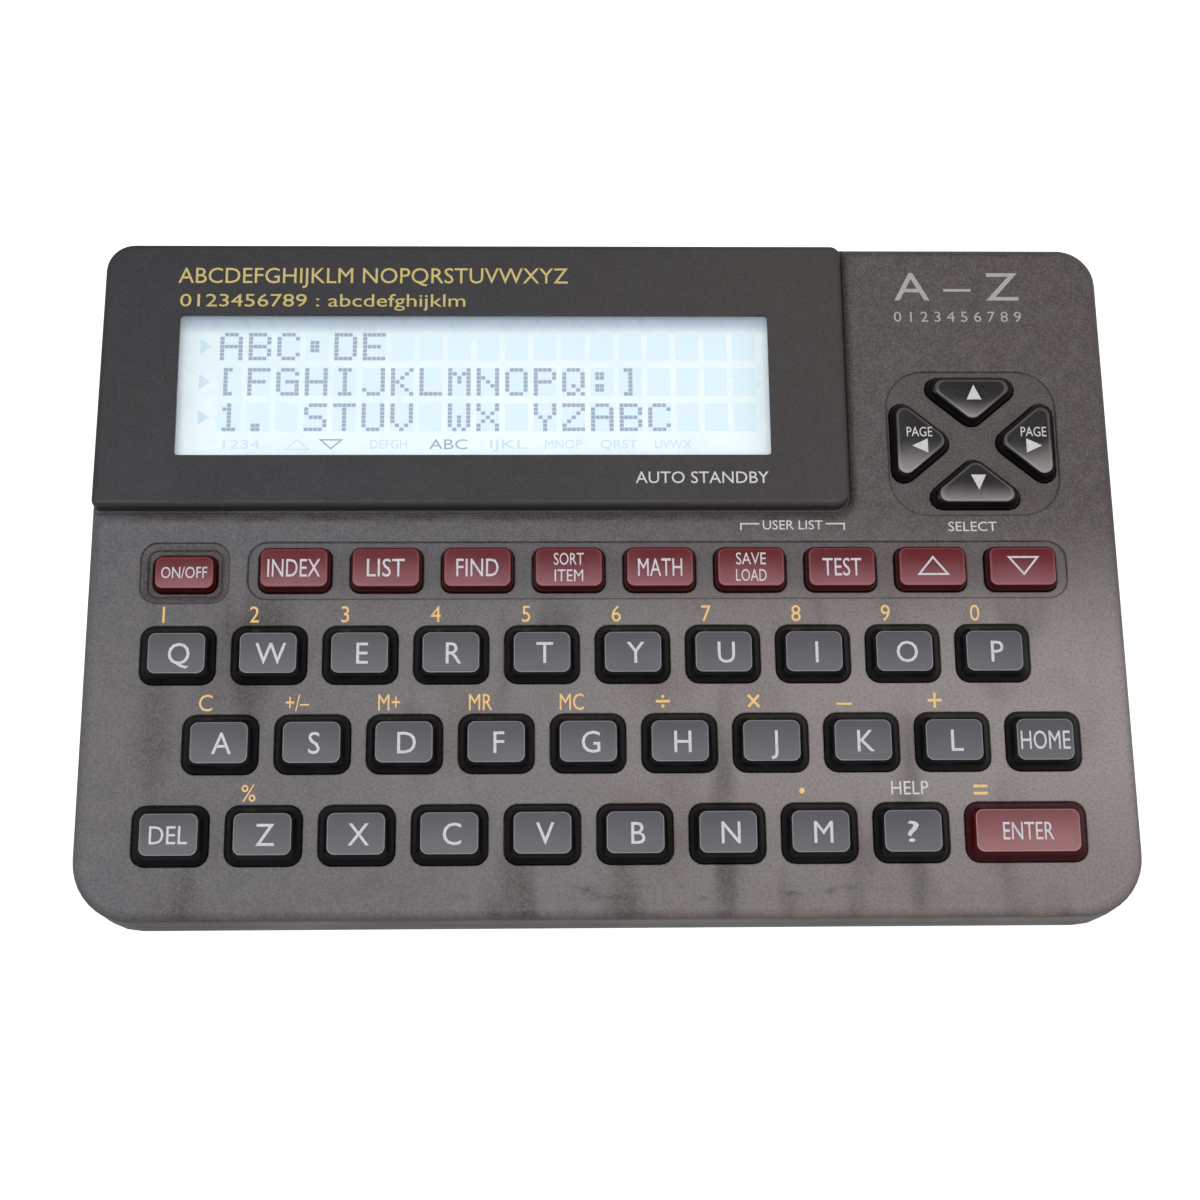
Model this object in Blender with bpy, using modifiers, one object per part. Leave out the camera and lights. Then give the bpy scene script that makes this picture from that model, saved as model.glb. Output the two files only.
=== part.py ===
"""Electronic dictionary: a flat two-shell case with a raised display block and a letter keyboard.

Units are metres and +Z is up. The origin is on the rest plane under the middle of the case, +Y runs
from the keyboard to the display, and every height is stacked from the rest plane upwards.
"""

import math

import bmesh
import bpy
from mathutils import Vector

# Shared fits and finish values
GAP = 0.0003
OVERRUN = 0.003
WELD = 0.000001
SHARP_ANGLE = math.radians(35)
CORNER_STEPS = 6
RECESS_CORNER_STEPS = 4
SMALL_CORNER_STEPS = 3
HOLE_CORNER_STEPS = 2
FLANGE_CORNER_STEPS = 1
FILLET_STEPS = 3
ROUND_SIDES = 12

# Case
FRONT_CORNER_RADIUS = 0.0080
REAR_RIGHT_RADIUS = 0.0052
REAR_LEFT_RADIUS = 0.0042
CASE_WALL = 0.0018
TOP_WALL = 0.0019
TOP_FILLET = 0.0008
BOTTOM_FILLET = 0.0014
FOOT_HEIGHT = 0.0005
FOOT_RADIUS = 0.0030
FLOOR_THICKNESS = 0.0020
PARTING_SHARE = 0.46
TONGUE_THICKNESS = 0.0007
TONGUE_HEIGHT = 0.0008

# Power: two coin cells side by side under a sliding cover
COVER_THICKNESS = 0.0010
CELL_RADIUS = 0.0100
CELL_HEIGHT = 0.0032
CELL_EDGE = 0.0003
CELL_GAP = 0.0024
CELL_SIDE_CLEARANCE = 0.0005
BAY_REAR_MARGIN = 0.0133
BAY_WALL = 0.0012
COVER_LEDGE = 0.0022
DOVETAIL = 0.0008
GRIP_GROOVE_DEPTH = 0.0004
GRIP_GROOVE_WIDTH = 0.0009
GRIP_GROOVE_PITCH = 0.0020
GRIP_GROOVES = 5
CLIP_THICKNESS = 0.0003
CLIP_WIDTH = 0.0090

# Electronics and key sheet
BOARD_THICKNESS = 0.0010
SHEET_THICKNESS = 0.0006
DOME_HEIGHT = 0.0010
DOME_RADIUS = 0.0024
DOME_TOP_RADIUS = 0.0014
DOME_SIDES = 6
SHEET_MARGIN = 0.0012
POST_RADIUS = 0.0012

# Letter keys, whose rows set the width of the case and most of its depth
KEYS_IN_ROW = 10
ROW_SHIFT_SHARE = 0.5
SIDE_MARGIN = 0.00765
FRONT_SPARE = 0.0004
KEY_PITCH = 0.0120
KEY_ROW_PITCH = 0.0120
KEY_GAP = 0.0020
KEY_ROW_GAP = 0.0040
KEY_RISE = 0.0014
KEY_TAPER = 0.00095
KEY_CORNER_RADIUS = 0.0013
KEY_TOP_RADIUS = 0.0009
KEY_SHOULDER = 0.0001
KEY_CLEARANCE = 0.00025
FLANGE_THICKNESS = 0.0007
FLANGE_LIP = 0.0004
KEY_WALL = 0.0011
PLUNGER_SIZE = 0.0024

# Row of function keys, in a trough that fills what the power key leaves
FUNCTION_KEYS = 9
FUNCTION_ROW_GAP = 0.00463
FUNCTION_GAP = 0.0025
FUNCTION_DEPTH = 0.00607
FUNCTION_RISE = 0.0015
FUNCTION_TAPER = 0.00035
FUNCTION_EDGE = 0.0003
TROUGH_START_GAP = 0.00265
TROUGH_END_INSET = 0.0003
TROUGH_MARGIN_X = 0.0014
TROUGH_MARGIN_Y = 0.00085
TROUGH_DEPTH = 0.0004
TROUGH_CORNER_RADIUS = 0.0025

# Power key in a dish of its own
POWER_KEY_WIDTH = 0.0085
POWER_KEY_DEPTH = 0.00515
POWER_KEY_INSET = 0.00115
POWER_KEY_DROP = 0.0003
POWER_KEY_RISE = 0.0003
POWER_DISH_MARGIN = 0.00155
POWER_DISH_SLOPE = 0.0008
POWER_DISH_DEPTH = 0.0010
POWER_DISH_RADIUS = 0.0022

# Arrow keys: a rectangle split along its diagonals
ARROW_REACH_X = 0.01125
ARROW_REACH_Y = 0.0095
ARROW_CHANNEL = 0.0029
ARROW_CORNER_RADIUS = 0.0016
ARROW_TIP_RADIUS = 0.0018
ARROW_RISE = 0.0013
ARROW_TAPER = 0.0008
ARROW_PRESS_SHARE = 0.40
ARROW_ROW_GAP = 0.0047
ARROW_END_INSET = 0.0004
ARROW_DISH_MARGIN_X = 0.00035
ARROW_DISH_MARGIN_Y = 0.0008
ARROW_DISH_DEPTH = 0.0004
ARROW_DISH_RADIUS = 0.0052

# Display block
PANEL_RISE = 0.0015
PANEL_SINK = 0.0010
PANEL_EDGE_INSET = 0.00035
PANEL_DEPTH = 0.03805
PANEL_ROW_GAP = 0.00557
PANEL_DISH_GAP = 0.0057
PANEL_FILLET = 0.0008
PANEL_FRONT_RIGHT_RADIUS = 0.0020
PANEL_FRONT_LEFT_RADIUS = 0.0010
PANEL_REAR_RIGHT_RADIUS = 0.0014
COVE_SIDE = 0.0013
COVE_FRONT = 0.0020
WINDOW_LEFT_MARGIN = 0.0108
WINDOW_RIGHT_MARGIN = 0.0105
WINDOW_FRONT_MARGIN = 0.0072
WINDOW_REAR_MARGIN = 0.01045
WINDOW_RADIUS = 0.0005
WINDOW_LIP = 0.0008
PANE_LEDGE = 0.0012
PANE_THICKNESS = 0.0008
GLASS_THICKNESS = 0.0020
GLASS_MARGIN_X = 0.0017
GLASS_MARGIN_Y = 0.0023
GLASS_FRAME_WALL = 0.0012
STRIP_WIDTH = 0.0020
STRIP_MARGIN = 0.0040

# Case screws
SCREW_SHANK_RADIUS = 0.0009
SCREW_HEAD_RADIUS = 0.0017
SCREW_HEAD_HEIGHT = 0.0012
SCREW_HEAD_CLEARANCE = 0.00025
SCREW_BOSS_RADIUS = 0.0019
SCREW_COLUMN_WALL = 0.0008
SCREW_SEAT_DEPTH = 0.0030
FRONT_SCREW_INSET = 0.01265
REAR_SCREW_INSET = 0.00965
RESET_HOLE_RADIUS = 0.0007
RESET_HOLE_GAP = 0.0120

# Heights above the rest plane, in stacking order
COVER_TOP_Z = FOOT_HEIGHT + COVER_THICKNESS
FLOOR_TOP_Z = FOOT_HEIGHT + FLOOR_THICKNESS
CELL_BOTTOM_Z = COVER_TOP_Z + GAP
CELL_TOP_Z = CELL_BOTTOM_Z + CELL_HEIGHT
CLIP_BOTTOM_Z = CELL_TOP_Z + GAP
CLIP_TOP_Z = CLIP_BOTTOM_Z + CLIP_THICKNESS
BOARD_BOTTOM_Z = CLIP_TOP_Z + GAP
BOARD_TOP_Z = BOARD_BOTTOM_Z + BOARD_THICKNESS
SHEET_BOTTOM_Z = BOARD_TOP_Z + GAP
SHEET_TOP_Z = SHEET_BOTTOM_Z + SHEET_THICKNESS
KEY_BOTTOM_Z = SHEET_TOP_Z + DOME_HEIGHT + GAP
CEILING_Z = KEY_BOTTOM_Z + FLANGE_THICKNESS + GAP
FIELD_Z = CEILING_Z + TOP_WALL
SEAT_Z = FIELD_Z - PANEL_SINK
PANEL_BOTTOM_Z = SEAT_Z + GAP
PANEL_TOP_Z = FIELD_Z + PANEL_RISE
PANE_TOP_Z = PANEL_TOP_Z - WINDOW_LIP - GAP
PANE_BOTTOM_Z = PANE_TOP_Z - PANE_THICKNESS
GLASS_TOP_Z = PANE_BOTTOM_Z - GAP
GLASS_BOTTOM_Z = GLASS_TOP_Z - GLASS_THICKNESS
PARTING_Z = FOOT_HEIGHT + PARTING_SHARE * (FIELD_Z - FOOT_HEIGHT)
SUPPORT_TOP_Z = BOARD_BOTTOM_Z - GAP

# Plan sizes and places, from the front edge to the rear and from the keyboard's ends inwards
KEY_WIDTH = KEY_PITCH - KEY_GAP
KEY_DEPTH = KEY_ROW_PITCH - KEY_ROW_GAP
KEY_ROWS = 3
KEYBOARD_END_X = ((KEYS_IN_ROW - 1 + ROW_SHIFT_SHARE) * KEY_PITCH + KEY_WIDTH) / 2
FLANGE_REACH = KEY_CLEARANCE + FLANGE_LIP
FRONT_MARGIN = CASE_WALL + GAP + 2 * SCREW_BOSS_RADIUS + FLANGE_REACH + FRONT_SPARE
KEYBOARD_DEPTH = (KEY_ROWS - 1) * KEY_ROW_PITCH + KEY_DEPTH
FUNCTION_ROW_DEPTH = FUNCTION_ROW_GAP + FUNCTION_DEPTH
CASE_WIDTH = 2 * (KEYBOARD_END_X + SIDE_MARGIN)
CASE_DEPTH = (
    FRONT_MARGIN + KEYBOARD_DEPTH + FUNCTION_ROW_DEPTH + PANEL_ROW_GAP + PANEL_DEPTH + PANEL_EDGE_INSET
)
HALF_WIDTH = CASE_WIDTH / 2
HALF_DEPTH = CASE_DEPTH / 2
FIRST_ROW_Y = -HALF_DEPTH + FRONT_MARGIN + KEYBOARD_DEPTH - KEY_DEPTH / 2
FUNCTION_ROW_Y = FIRST_ROW_Y + KEY_DEPTH / 2 + FUNCTION_ROW_GAP + FUNCTION_DEPTH / 2

POWER_KEY_X = -KEYBOARD_END_X + POWER_KEY_INSET + POWER_KEY_WIDTH / 2
POWER_KEY_Y = FUNCTION_ROW_Y - POWER_KEY_DROP
TROUGH_LEFT_X = POWER_KEY_X + POWER_KEY_WIDTH / 2 + POWER_DISH_MARGIN + TROUGH_START_GAP
TROUGH_RIGHT_X = KEYBOARD_END_X - TROUGH_END_INSET
FUNCTION_SPAN = TROUGH_RIGHT_X - TROUGH_LEFT_X - 2 * TROUGH_MARGIN_X
FUNCTION_WIDTH = (FUNCTION_SPAN - (FUNCTION_KEYS - 1) * FUNCTION_GAP) / FUNCTION_KEYS
FUNCTION_PITCH = FUNCTION_WIDTH + FUNCTION_GAP
FUNCTION_FIRST_X = TROUGH_LEFT_X + TROUGH_MARGIN_X + FUNCTION_WIDTH / 2

ARROW_DISH_X = ARROW_REACH_X + ARROW_DISH_MARGIN_X
ARROW_DISH_Y = ARROW_REACH_Y + ARROW_DISH_MARGIN_Y
ARROW_CENTRE_X = KEYBOARD_END_X - ARROW_END_INSET - ARROW_DISH_X
ARROW_CENTRE_Y = FUNCTION_ROW_Y + FUNCTION_DEPTH / 2 + ARROW_ROW_GAP + ARROW_DISH_Y
PANEL_RIGHT_X = ARROW_CENTRE_X - ARROW_DISH_X - PANEL_DISH_GAP
PANEL_FRONT_Y = HALF_DEPTH - PANEL_EDGE_INSET - PANEL_DEPTH
WINDOW_LEFT_X = -HALF_WIDTH + PANEL_EDGE_INSET + WINDOW_LEFT_MARGIN
WINDOW_RIGHT_X = PANEL_RIGHT_X - WINDOW_RIGHT_MARGIN
WINDOW_FRONT_Y = PANEL_FRONT_Y + WINDOW_FRONT_MARGIN
WINDOW_REAR_Y = HALF_DEPTH - PANEL_EDGE_INSET - WINDOW_REAR_MARGIN

SCREW_Y = HALF_DEPTH - CASE_WALL - SCREW_BOSS_RADIUS - GAP
FRONT_SCREW_X = HALF_WIDTH - FRONT_SCREW_INSET
REAR_SCREW_X = HALF_WIDTH - REAR_SCREW_INSET
FOOT_X = REAR_SCREW_X
FOOT_Y = SCREW_Y - SCREW_HEAD_RADIUS - FOOT_RADIUS - CASE_WALL
BOARD_HALF_DEPTH = SCREW_Y - SCREW_BOSS_RADIUS - GAP
BOARD_HALF_WIDTH = HALF_WIDTH - CASE_WALL - SHEET_MARGIN
CELL_X = CELL_RADIUS + CELL_GAP / 2
BAY_HALF_WIDTH = CELL_X + CELL_RADIUS + CELL_SIDE_CLEARANCE
BAY_HALF_DEPTH = CELL_RADIUS + CELL_SIDE_CLEARANCE
BAY_Y = HALF_DEPTH - BAY_REAR_MARGIN - BAY_HALF_DEPTH
COVER_HALF_WIDTH = BAY_HALF_WIDTH + COVER_LEDGE
COVER_FRONT_Y = BAY_Y - BAY_HALF_DEPTH - COVER_LEDGE
RESET_HOLE_X = COVER_HALF_WIDTH + RESET_HOLE_GAP

LETTER_ROWS = (
    ("q", "w", "e", "r", "t", "y", "u", "i", "o", "p"),
    ("a", "s", "d", "f", "g", "h", "j", "k", "l", "rate"),
    ("clear", "z", "x", "c", "v", "b", "n", "m", "question"),
)
# Board supports, as shares of the board's half width and half depth
POST_SHARES = (
    (-0.93, -0.75),
    (0.93, -0.75),
    (0.0, -0.55),
    (-0.93, 0.12),
    (0.93, 0.12),
    (0.93, 0.8),
    (-0.93, 0.8),
)


def clear_scene():
    """Remove whatever the file already holds."""
    for obj in list(bpy.data.objects):
        bpy.data.objects.remove(obj)


def new_collection(name):
    collection = bpy.data.collections.new(name)
    bpy.context.scene.collection.children.link(collection)
    return collection


def material(name, colour, roughness, metallic=0.0):
    made = bpy.data.materials.new(name)
    made.use_nodes = True
    shader = made.node_tree.nodes["Principled BSDF"]
    shader.inputs["Base Color"].default_value = (*colour, 1.0)
    shader.inputs["Roughness"].default_value = roughness
    shader.inputs["Metallic"].default_value = metallic
    return made


def rectangle(left, right, front, rear):
    """Corners counter-clockwise from the front left."""
    return [Vector((left, front)), Vector((right, front)), Vector((right, rear)), Vector((left, rear))]


def centred(width, depth):
    return rectangle(-width / 2, width / 2, -depth / 2, depth / 2)


def inset(corners, distance):
    """The outline with each side moved inwards by the distance; a negative distance moves it out."""
    moved = []
    for index, here in enumerate(corners):
        before = (here - corners[index - 1]).normalized()
        after = (corners[(index + 1) % len(corners)] - here).normalized()
        normals = Vector((-before.y, before.x)), Vector((-after.y, after.x))
        shift = (normals[0] + normals[1]) / (1 + normals[0].dot(normals[1]))
        moved.append(here + shift * distance)
    return moved


def rounded(corners, radii, steps):
    """The outline's points with each corner turned into a tangent arc of its radius."""
    points = []
    for index, here in enumerate(corners):
        radius = radii[index] if isinstance(radii, (list, tuple)) else radii
        back = (corners[index - 1] - here).normalized()
        ahead = (corners[(index + 1) % len(corners)] - here).normalized()
        half_angle = math.acos(max(-1, min(1, back.dot(ahead)))) / 2
        centre = here + (back + ahead).normalized() * (radius / math.sin(half_angle))
        start = here + back * (radius / math.tan(half_angle)) - centre
        end = here + ahead * (radius / math.tan(half_angle)) - centre
        turn = math.atan2(start.x * end.y - start.y * end.x, start.dot(end))
        for step in range(steps + 1):
            angle = turn * step / steps
            cosine, sine = math.cos(angle), math.sin(angle)
            turned_x = start.x * cosine - start.y * sine
            turned_y = start.x * sine + start.y * cosine
            points.append(centre + Vector((turned_x, turned_y)))
    return points


def add_loft(mesh, sections):
    """Add one closed solid through sections of equal point count, each a pair of points and height."""
    rings = [[mesh.verts.new((point.x, point.y, height)) for point in points] for points, height in sections]
    count = len(rings[0])
    for lower, upper in zip(rings, rings[1:]):
        for index in range(count):
            following = (index + 1) % count
            mesh.faces.new((lower[index], lower[following], upper[following], upper[index]))
    mesh.faces.new(reversed(rings[0]))
    mesh.faces.new(rings[-1])


def as_object(name, mesh, collection, surface=None):
    """A new object from a bmesh, shaded smooth up to the sharp angle."""
    data = bpy.data.meshes.new(name)
    mesh.to_mesh(data)
    mesh.free()
    data.shade_smooth()
    data.set_sharp_from_angle(angle=SHARP_ANGLE)
    obj = bpy.data.objects.new(name, data)
    if surface:
        data.materials.append(surface)
    collection.objects.link(obj)
    return obj


def lofts(name, stacks, collection, surface=None):
    """One object that holds a separate solid for each stack of sections."""
    mesh = bmesh.new()
    for sections in stacks:
        add_loft(mesh, sections)
    return as_object(name, mesh, collection, surface)


def plate(name, outlines, bottom, top, collection, surface=None):
    """A flat piece made from a filled 2D curve; each outline inside the first is a hole."""
    curve = bpy.data.curves.new(name, "CURVE")
    curve.dimensions = "2D"
    curve.fill_mode = "BOTH"
    curve.extrude = (top - bottom) / 2
    for outline in outlines:
        spline = curve.splines.new("POLY")
        spline.points.add(len(outline) - 1)
        spline.use_cyclic_u = True
        for point, place in zip(spline.points, outline):
            point.co = (place.x, place.y, 0, 1)
    guide = bpy.data.objects.new(name, curve)
    guide.location.z = (top + bottom) / 2
    collection.objects.link(guide)
    bpy.context.view_layer.update()
    data = bpy.data.meshes.new_from_object(guide.evaluated_get(bpy.context.evaluated_depsgraph_get()))
    data.transform(guide.matrix_world)
    bpy.data.objects.remove(guide)
    mesh = bmesh.new()
    mesh.from_mesh(data)
    bmesh.ops.remove_doubles(mesh, verts=mesh.verts, dist=WELD)
    bmesh.ops.recalc_face_normals(mesh, faces=mesh.faces)
    bpy.data.meshes.remove(data)
    return as_object(name, mesh, collection, surface)


def turned(name, profile, sides, collection, surface=None):
    """A round piece turned about Z from a profile of (radius, height) pairs, listed from the top down."""
    mesh = bmesh.new()
    points = [mesh.verts.new((radius, 0, height)) for radius, height in profile]
    for upper, lower in zip(points, points[1:]):
        mesh.edges.new((upper, lower))
    obj = as_object(name, mesh, collection, surface)
    spin = obj.modifiers.new("turn", "SCREW")
    spin.steps = spin.render_steps = sides
    spin.use_merge_vertices = True
    spin.merge_threshold = WELD
    spin.use_smooth_shade = True
    return obj


def cylinders(name, places, radius, bottom, top, collection, sides=ROUND_SIDES, top_radius=None):
    """One object that holds an upright cylinder, or a cone frustum, at each place."""
    mesh = bmesh.new()
    for x, y in places:
        made = bmesh.ops.create_cone(
            mesh,
            cap_ends=True,
            segments=sides,
            radius1=radius,
            radius2=top_radius or radius,
            depth=top - bottom,
        )
        bmesh.ops.translate(mesh, verts=made["verts"], vec=(x, y, (top + bottom) / 2))
    return as_object(name, mesh, collection)


def combine(target, helper, operation):
    """Cut the helper from the target, add it, or keep what both share."""
    helper.hide_render = True
    helper.display_type = "WIRE"
    step = target.modifiers.new(helper.name, "BOOLEAN")
    step.operation = operation
    step.object = helper
    step.solver = "EXACT"


def bake(obj):
    """The object's mesh with its modifiers applied."""
    bpy.context.view_layer.update()
    return bpy.data.meshes.new_from_object(obj.evaluated_get(bpy.context.evaluated_depsgraph_get()))


def case_radii(distance):
    """Corner radii of the case outline once it is moved inwards by the distance."""
    return [
        FRONT_CORNER_RADIUS - distance,
        FRONT_CORNER_RADIUS - distance,
        REAR_RIGHT_RADIUS - distance,
        REAR_LEFT_RADIUS - distance,
    ]


def case_section(distance, height):
    outline = inset(centred(CASE_WIDTH, CASE_DEPTH), distance)
    return rounded(outline, case_radii(distance), CORNER_STEPS), height


def fillet(radius):
    """Inset and height pairs of a quarter round, from its upright side to its flat side."""
    angles = [math.pi / 2 * step / FILLET_STEPS for step in range(FILLET_STEPS + 1)]
    return [(radius * (1 - math.cos(angle)), radius * math.sin(angle)) for angle in angles]


class KeyShape:
    """One kind of key: its outline about the press point, and how its cap rises from the case.

    The surround is how far the surface round the key lies below the field, and the cap tapers from there.
    """

    def __init__(
        self, corners, rise, taper, edge=0, surround=0, radii=KEY_CORNER_RADIUS, top_radii=KEY_TOP_RADIUS
    ):
        self.corners = corners
        self.crown = FIELD_Z - KEY_BOTTOM_Z + rise
        self.shoulder = FIELD_Z - KEY_BOTTOM_Z - surround + KEY_SHOULDER
        self.taper = taper
        self.edge = edge
        self.radii = radii
        self.top_radii = top_radii
        # The sharper turns of a three-sided key need one more step than a square corner
        self.extra_steps = 1 if len(corners) == 3 else 0

    def grown(self, distance):
        """Corner radii after the outline moves outwards by the distance."""
        if isinstance(self.radii, (list, tuple)):
            return [radius + distance for radius in self.radii]
        return self.radii + distance

    def aperture(self, x, y):
        steps = HOLE_CORNER_STEPS + self.extra_steps
        outline = rounded(inset(self.corners, -KEY_CLEARANCE), self.grown(KEY_CLEARANCE), steps)
        return [point + Vector((x, y)) for point in outline]

    def cap(self):
        """Sections of the cap, from just inside the flange to the top."""
        profile = [
            (0, FLANGE_THICKNESS / 2, self.radii),
            (0, self.shoulder, self.radii),
            (self.taper, self.crown - self.edge, self.top_radii),
        ]
        if self.edge:
            profile.append((self.taper + self.edge, self.crown, self.top_radii))
        return [
            (rounded(inset(self.corners, distance), radii, SMALL_CORNER_STEPS), height)
            for distance, height, radii in profile
        ]

    def flange(self):
        """Sections of the flange that keeps the key inside the case."""
        steps = FLANGE_CORNER_STEPS + self.extra_steps
        outline = rounded(inset(self.corners, -FLANGE_REACH), self.grown(FLANGE_REACH), steps)
        return [(outline, 0), (outline, FLANGE_THICKNESS)]

    def hollow(self):
        """Outline of the space under the cap, whose sharpest corners are cut off to keep the wall whole."""
        outline = inset(self.corners, KEY_WALL)
        return rounded(outline, self.grown(-KEY_WALL), self.extra_steps) if self.extra_steps else outline

    def mesh(self, name, cutters, surface):
        """A hollow cap with a flange, and a plunger in the middle that presses the dome below it."""
        cap = lofts(name, [self.cap()], cutters, surface)
        flange = lofts(name + "_flange", [self.flange()], cutters)
        combine(cap, flange, "UNION")
        outlines = [self.hollow(), centred(PLUNGER_SIZE, PLUNGER_SIZE)]
        hollow = plate(name + "_hollow", outlines, -OVERRUN, self.crown - KEY_WALL, cutters)
        combine(cap, hollow, "DIFFERENCE")
        data = bake(cap)
        data.name = name
        for used in (cap, flange, hollow):
            bpy.data.objects.remove(used)
        return data


def arrow_sizes(reach, side_reach):
    """Distance from the pad's middle to the sharp inner tip, and the half width of the outer side."""
    diagonal = math.hypot(reach, side_reach)
    tip = ARROW_CHANNEL / 2 * diagonal / side_reach
    return tip, (reach - tip) * side_reach / reach


def arrow_corners(reach, side_reach):
    """A triangle that points down, between two channels along the pad's diagonals, about its press point."""
    tip, half_side = arrow_sizes(reach, side_reach)
    height = reach - tip
    outer = height * ARROW_PRESS_SHARE
    return [Vector((0, outer - height)), Vector((half_side, outer)), Vector((-half_side, outer))]


def arrow_press(reach, side_reach):
    """Distance from the pad's middle to an arrow key's press point."""
    return reach - (reach - arrow_sizes(reach, side_reach)[0]) * ARROW_PRESS_SHARE


def key_shapes():
    """The six kinds of key, by name."""
    arrow_radii = [ARROW_TIP_RADIUS, ARROW_CORNER_RADIUS, ARROW_CORNER_RADIUS]
    arrow_top_radii = [radius - ARROW_TAPER / 2 for radius in arrow_radii]
    enter_width = KEY_WIDTH + KEY_PITCH * ROW_SHIFT_SHARE
    arrow = {
        "rise": ARROW_RISE,
        "taper": ARROW_TAPER,
        "surround": ARROW_DISH_DEPTH,
        "radii": arrow_radii,
        "top_radii": arrow_top_radii,
    }
    upright = {"taper": FUNCTION_TAPER, "edge": FUNCTION_EDGE}
    function = centred(FUNCTION_WIDTH, FUNCTION_DEPTH)
    power = centred(POWER_KEY_WIDTH, POWER_KEY_DEPTH)
    return {
        "letter": KeyShape(centred(KEY_WIDTH, KEY_DEPTH), KEY_RISE, KEY_TAPER),
        "enter": KeyShape(centred(enter_width, KEY_DEPTH), KEY_RISE, KEY_TAPER),
        "function": KeyShape(function, FUNCTION_RISE, surround=TROUGH_DEPTH, **upright),
        "power": KeyShape(power, POWER_KEY_RISE, surround=POWER_DISH_DEPTH, **upright),
        "vertical": KeyShape(arrow_corners(ARROW_REACH_Y, ARROW_REACH_X), **arrow),
        "horizontal": KeyShape(arrow_corners(ARROW_REACH_X, ARROW_REACH_Y), **arrow),
    }


def key_layout():
    """Each key's name, kind, press point and turn about Z."""
    keys = []
    first_x = -KEYBOARD_END_X + KEY_WIDTH / 2
    for row, names in enumerate(LETTER_ROWS):
        shift = ROW_SHIFT_SHARE * KEY_PITCH if row == 1 else 0
        for column, name in enumerate(names):
            x = first_x + shift + column * KEY_PITCH
            keys.append(("key_" + name, "letter", x, FIRST_ROW_Y - row * KEY_ROW_PITCH, 0))
    enter_x = first_x + (KEYS_IN_ROW - 1 + ROW_SHIFT_SHARE / 2) * KEY_PITCH
    keys.append(("key_enter", "enter", enter_x, FIRST_ROW_Y - (KEY_ROWS - 1) * KEY_ROW_PITCH, 0))
    for column in range(FUNCTION_KEYS):
        x = FUNCTION_FIRST_X + column * FUNCTION_PITCH
        keys.append((f"key_function_{column + 1}", "function", x, FUNCTION_ROW_Y, 0))
    keys.append(("key_on_off", "power", POWER_KEY_X, POWER_KEY_Y, 0))
    across = arrow_press(ARROW_REACH_X, ARROW_REACH_Y)
    along = arrow_press(ARROW_REACH_Y, ARROW_REACH_X)
    quarter = math.pi / 2
    keys.append(("key_up", "vertical", ARROW_CENTRE_X, ARROW_CENTRE_Y + along, 0))
    keys.append(("key_down", "vertical", ARROW_CENTRE_X, ARROW_CENTRE_Y - along, 2 * quarter))
    keys.append(("key_left", "horizontal", ARROW_CENTRE_X - across, ARROW_CENTRE_Y, quarter))
    keys.append(("key_right", "horizontal", ARROW_CENTRE_X + across, ARROW_CENTRE_Y, -quarter))
    return keys


def turned_outline(points, angle, x, y):
    """An outline about the origin, turned and moved to its place."""
    cosine, sine = math.cos(angle), math.sin(angle)
    return [Vector((p.x * cosine - p.y * sine + x, p.x * sine + p.y * cosine + y)) for p in points]


def make_keys(parts, cutters, shapes, layout, surfaces):
    meshes = {kind: shape.mesh(kind + "_key", cutters, surfaces[kind]) for kind, shape in shapes.items()}
    for name, kind, x, y, turn in layout:
        key = bpy.data.objects.new(name, meshes[kind])
        key.location = (x, y, KEY_BOTTOM_Z)
        key.rotation_euler.z = turn
        parts.objects.link(key)


def screw_places():
    front = [(side * FRONT_SCREW_X, -SCREW_Y) for side in (-1, 1)]
    rear = [(side * REAR_SCREW_X, SCREW_Y) for side in (-1, 1)]
    return front + rear


def bay_outline(margin):
    bay = rectangle(-BAY_HALF_WIDTH, BAY_HALF_WIDTH, BAY_Y - BAY_HALF_DEPTH, BAY_Y + BAY_HALF_DEPTH)
    return inset(bay, -margin)


def window_outline(margin_x, margin_y):
    return rectangle(
        WINDOW_LEFT_X - margin_x,
        WINDOW_RIGHT_X + margin_x,
        WINDOW_FRONT_Y - margin_y,
        WINDOW_REAR_Y + margin_y,
    )


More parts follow.
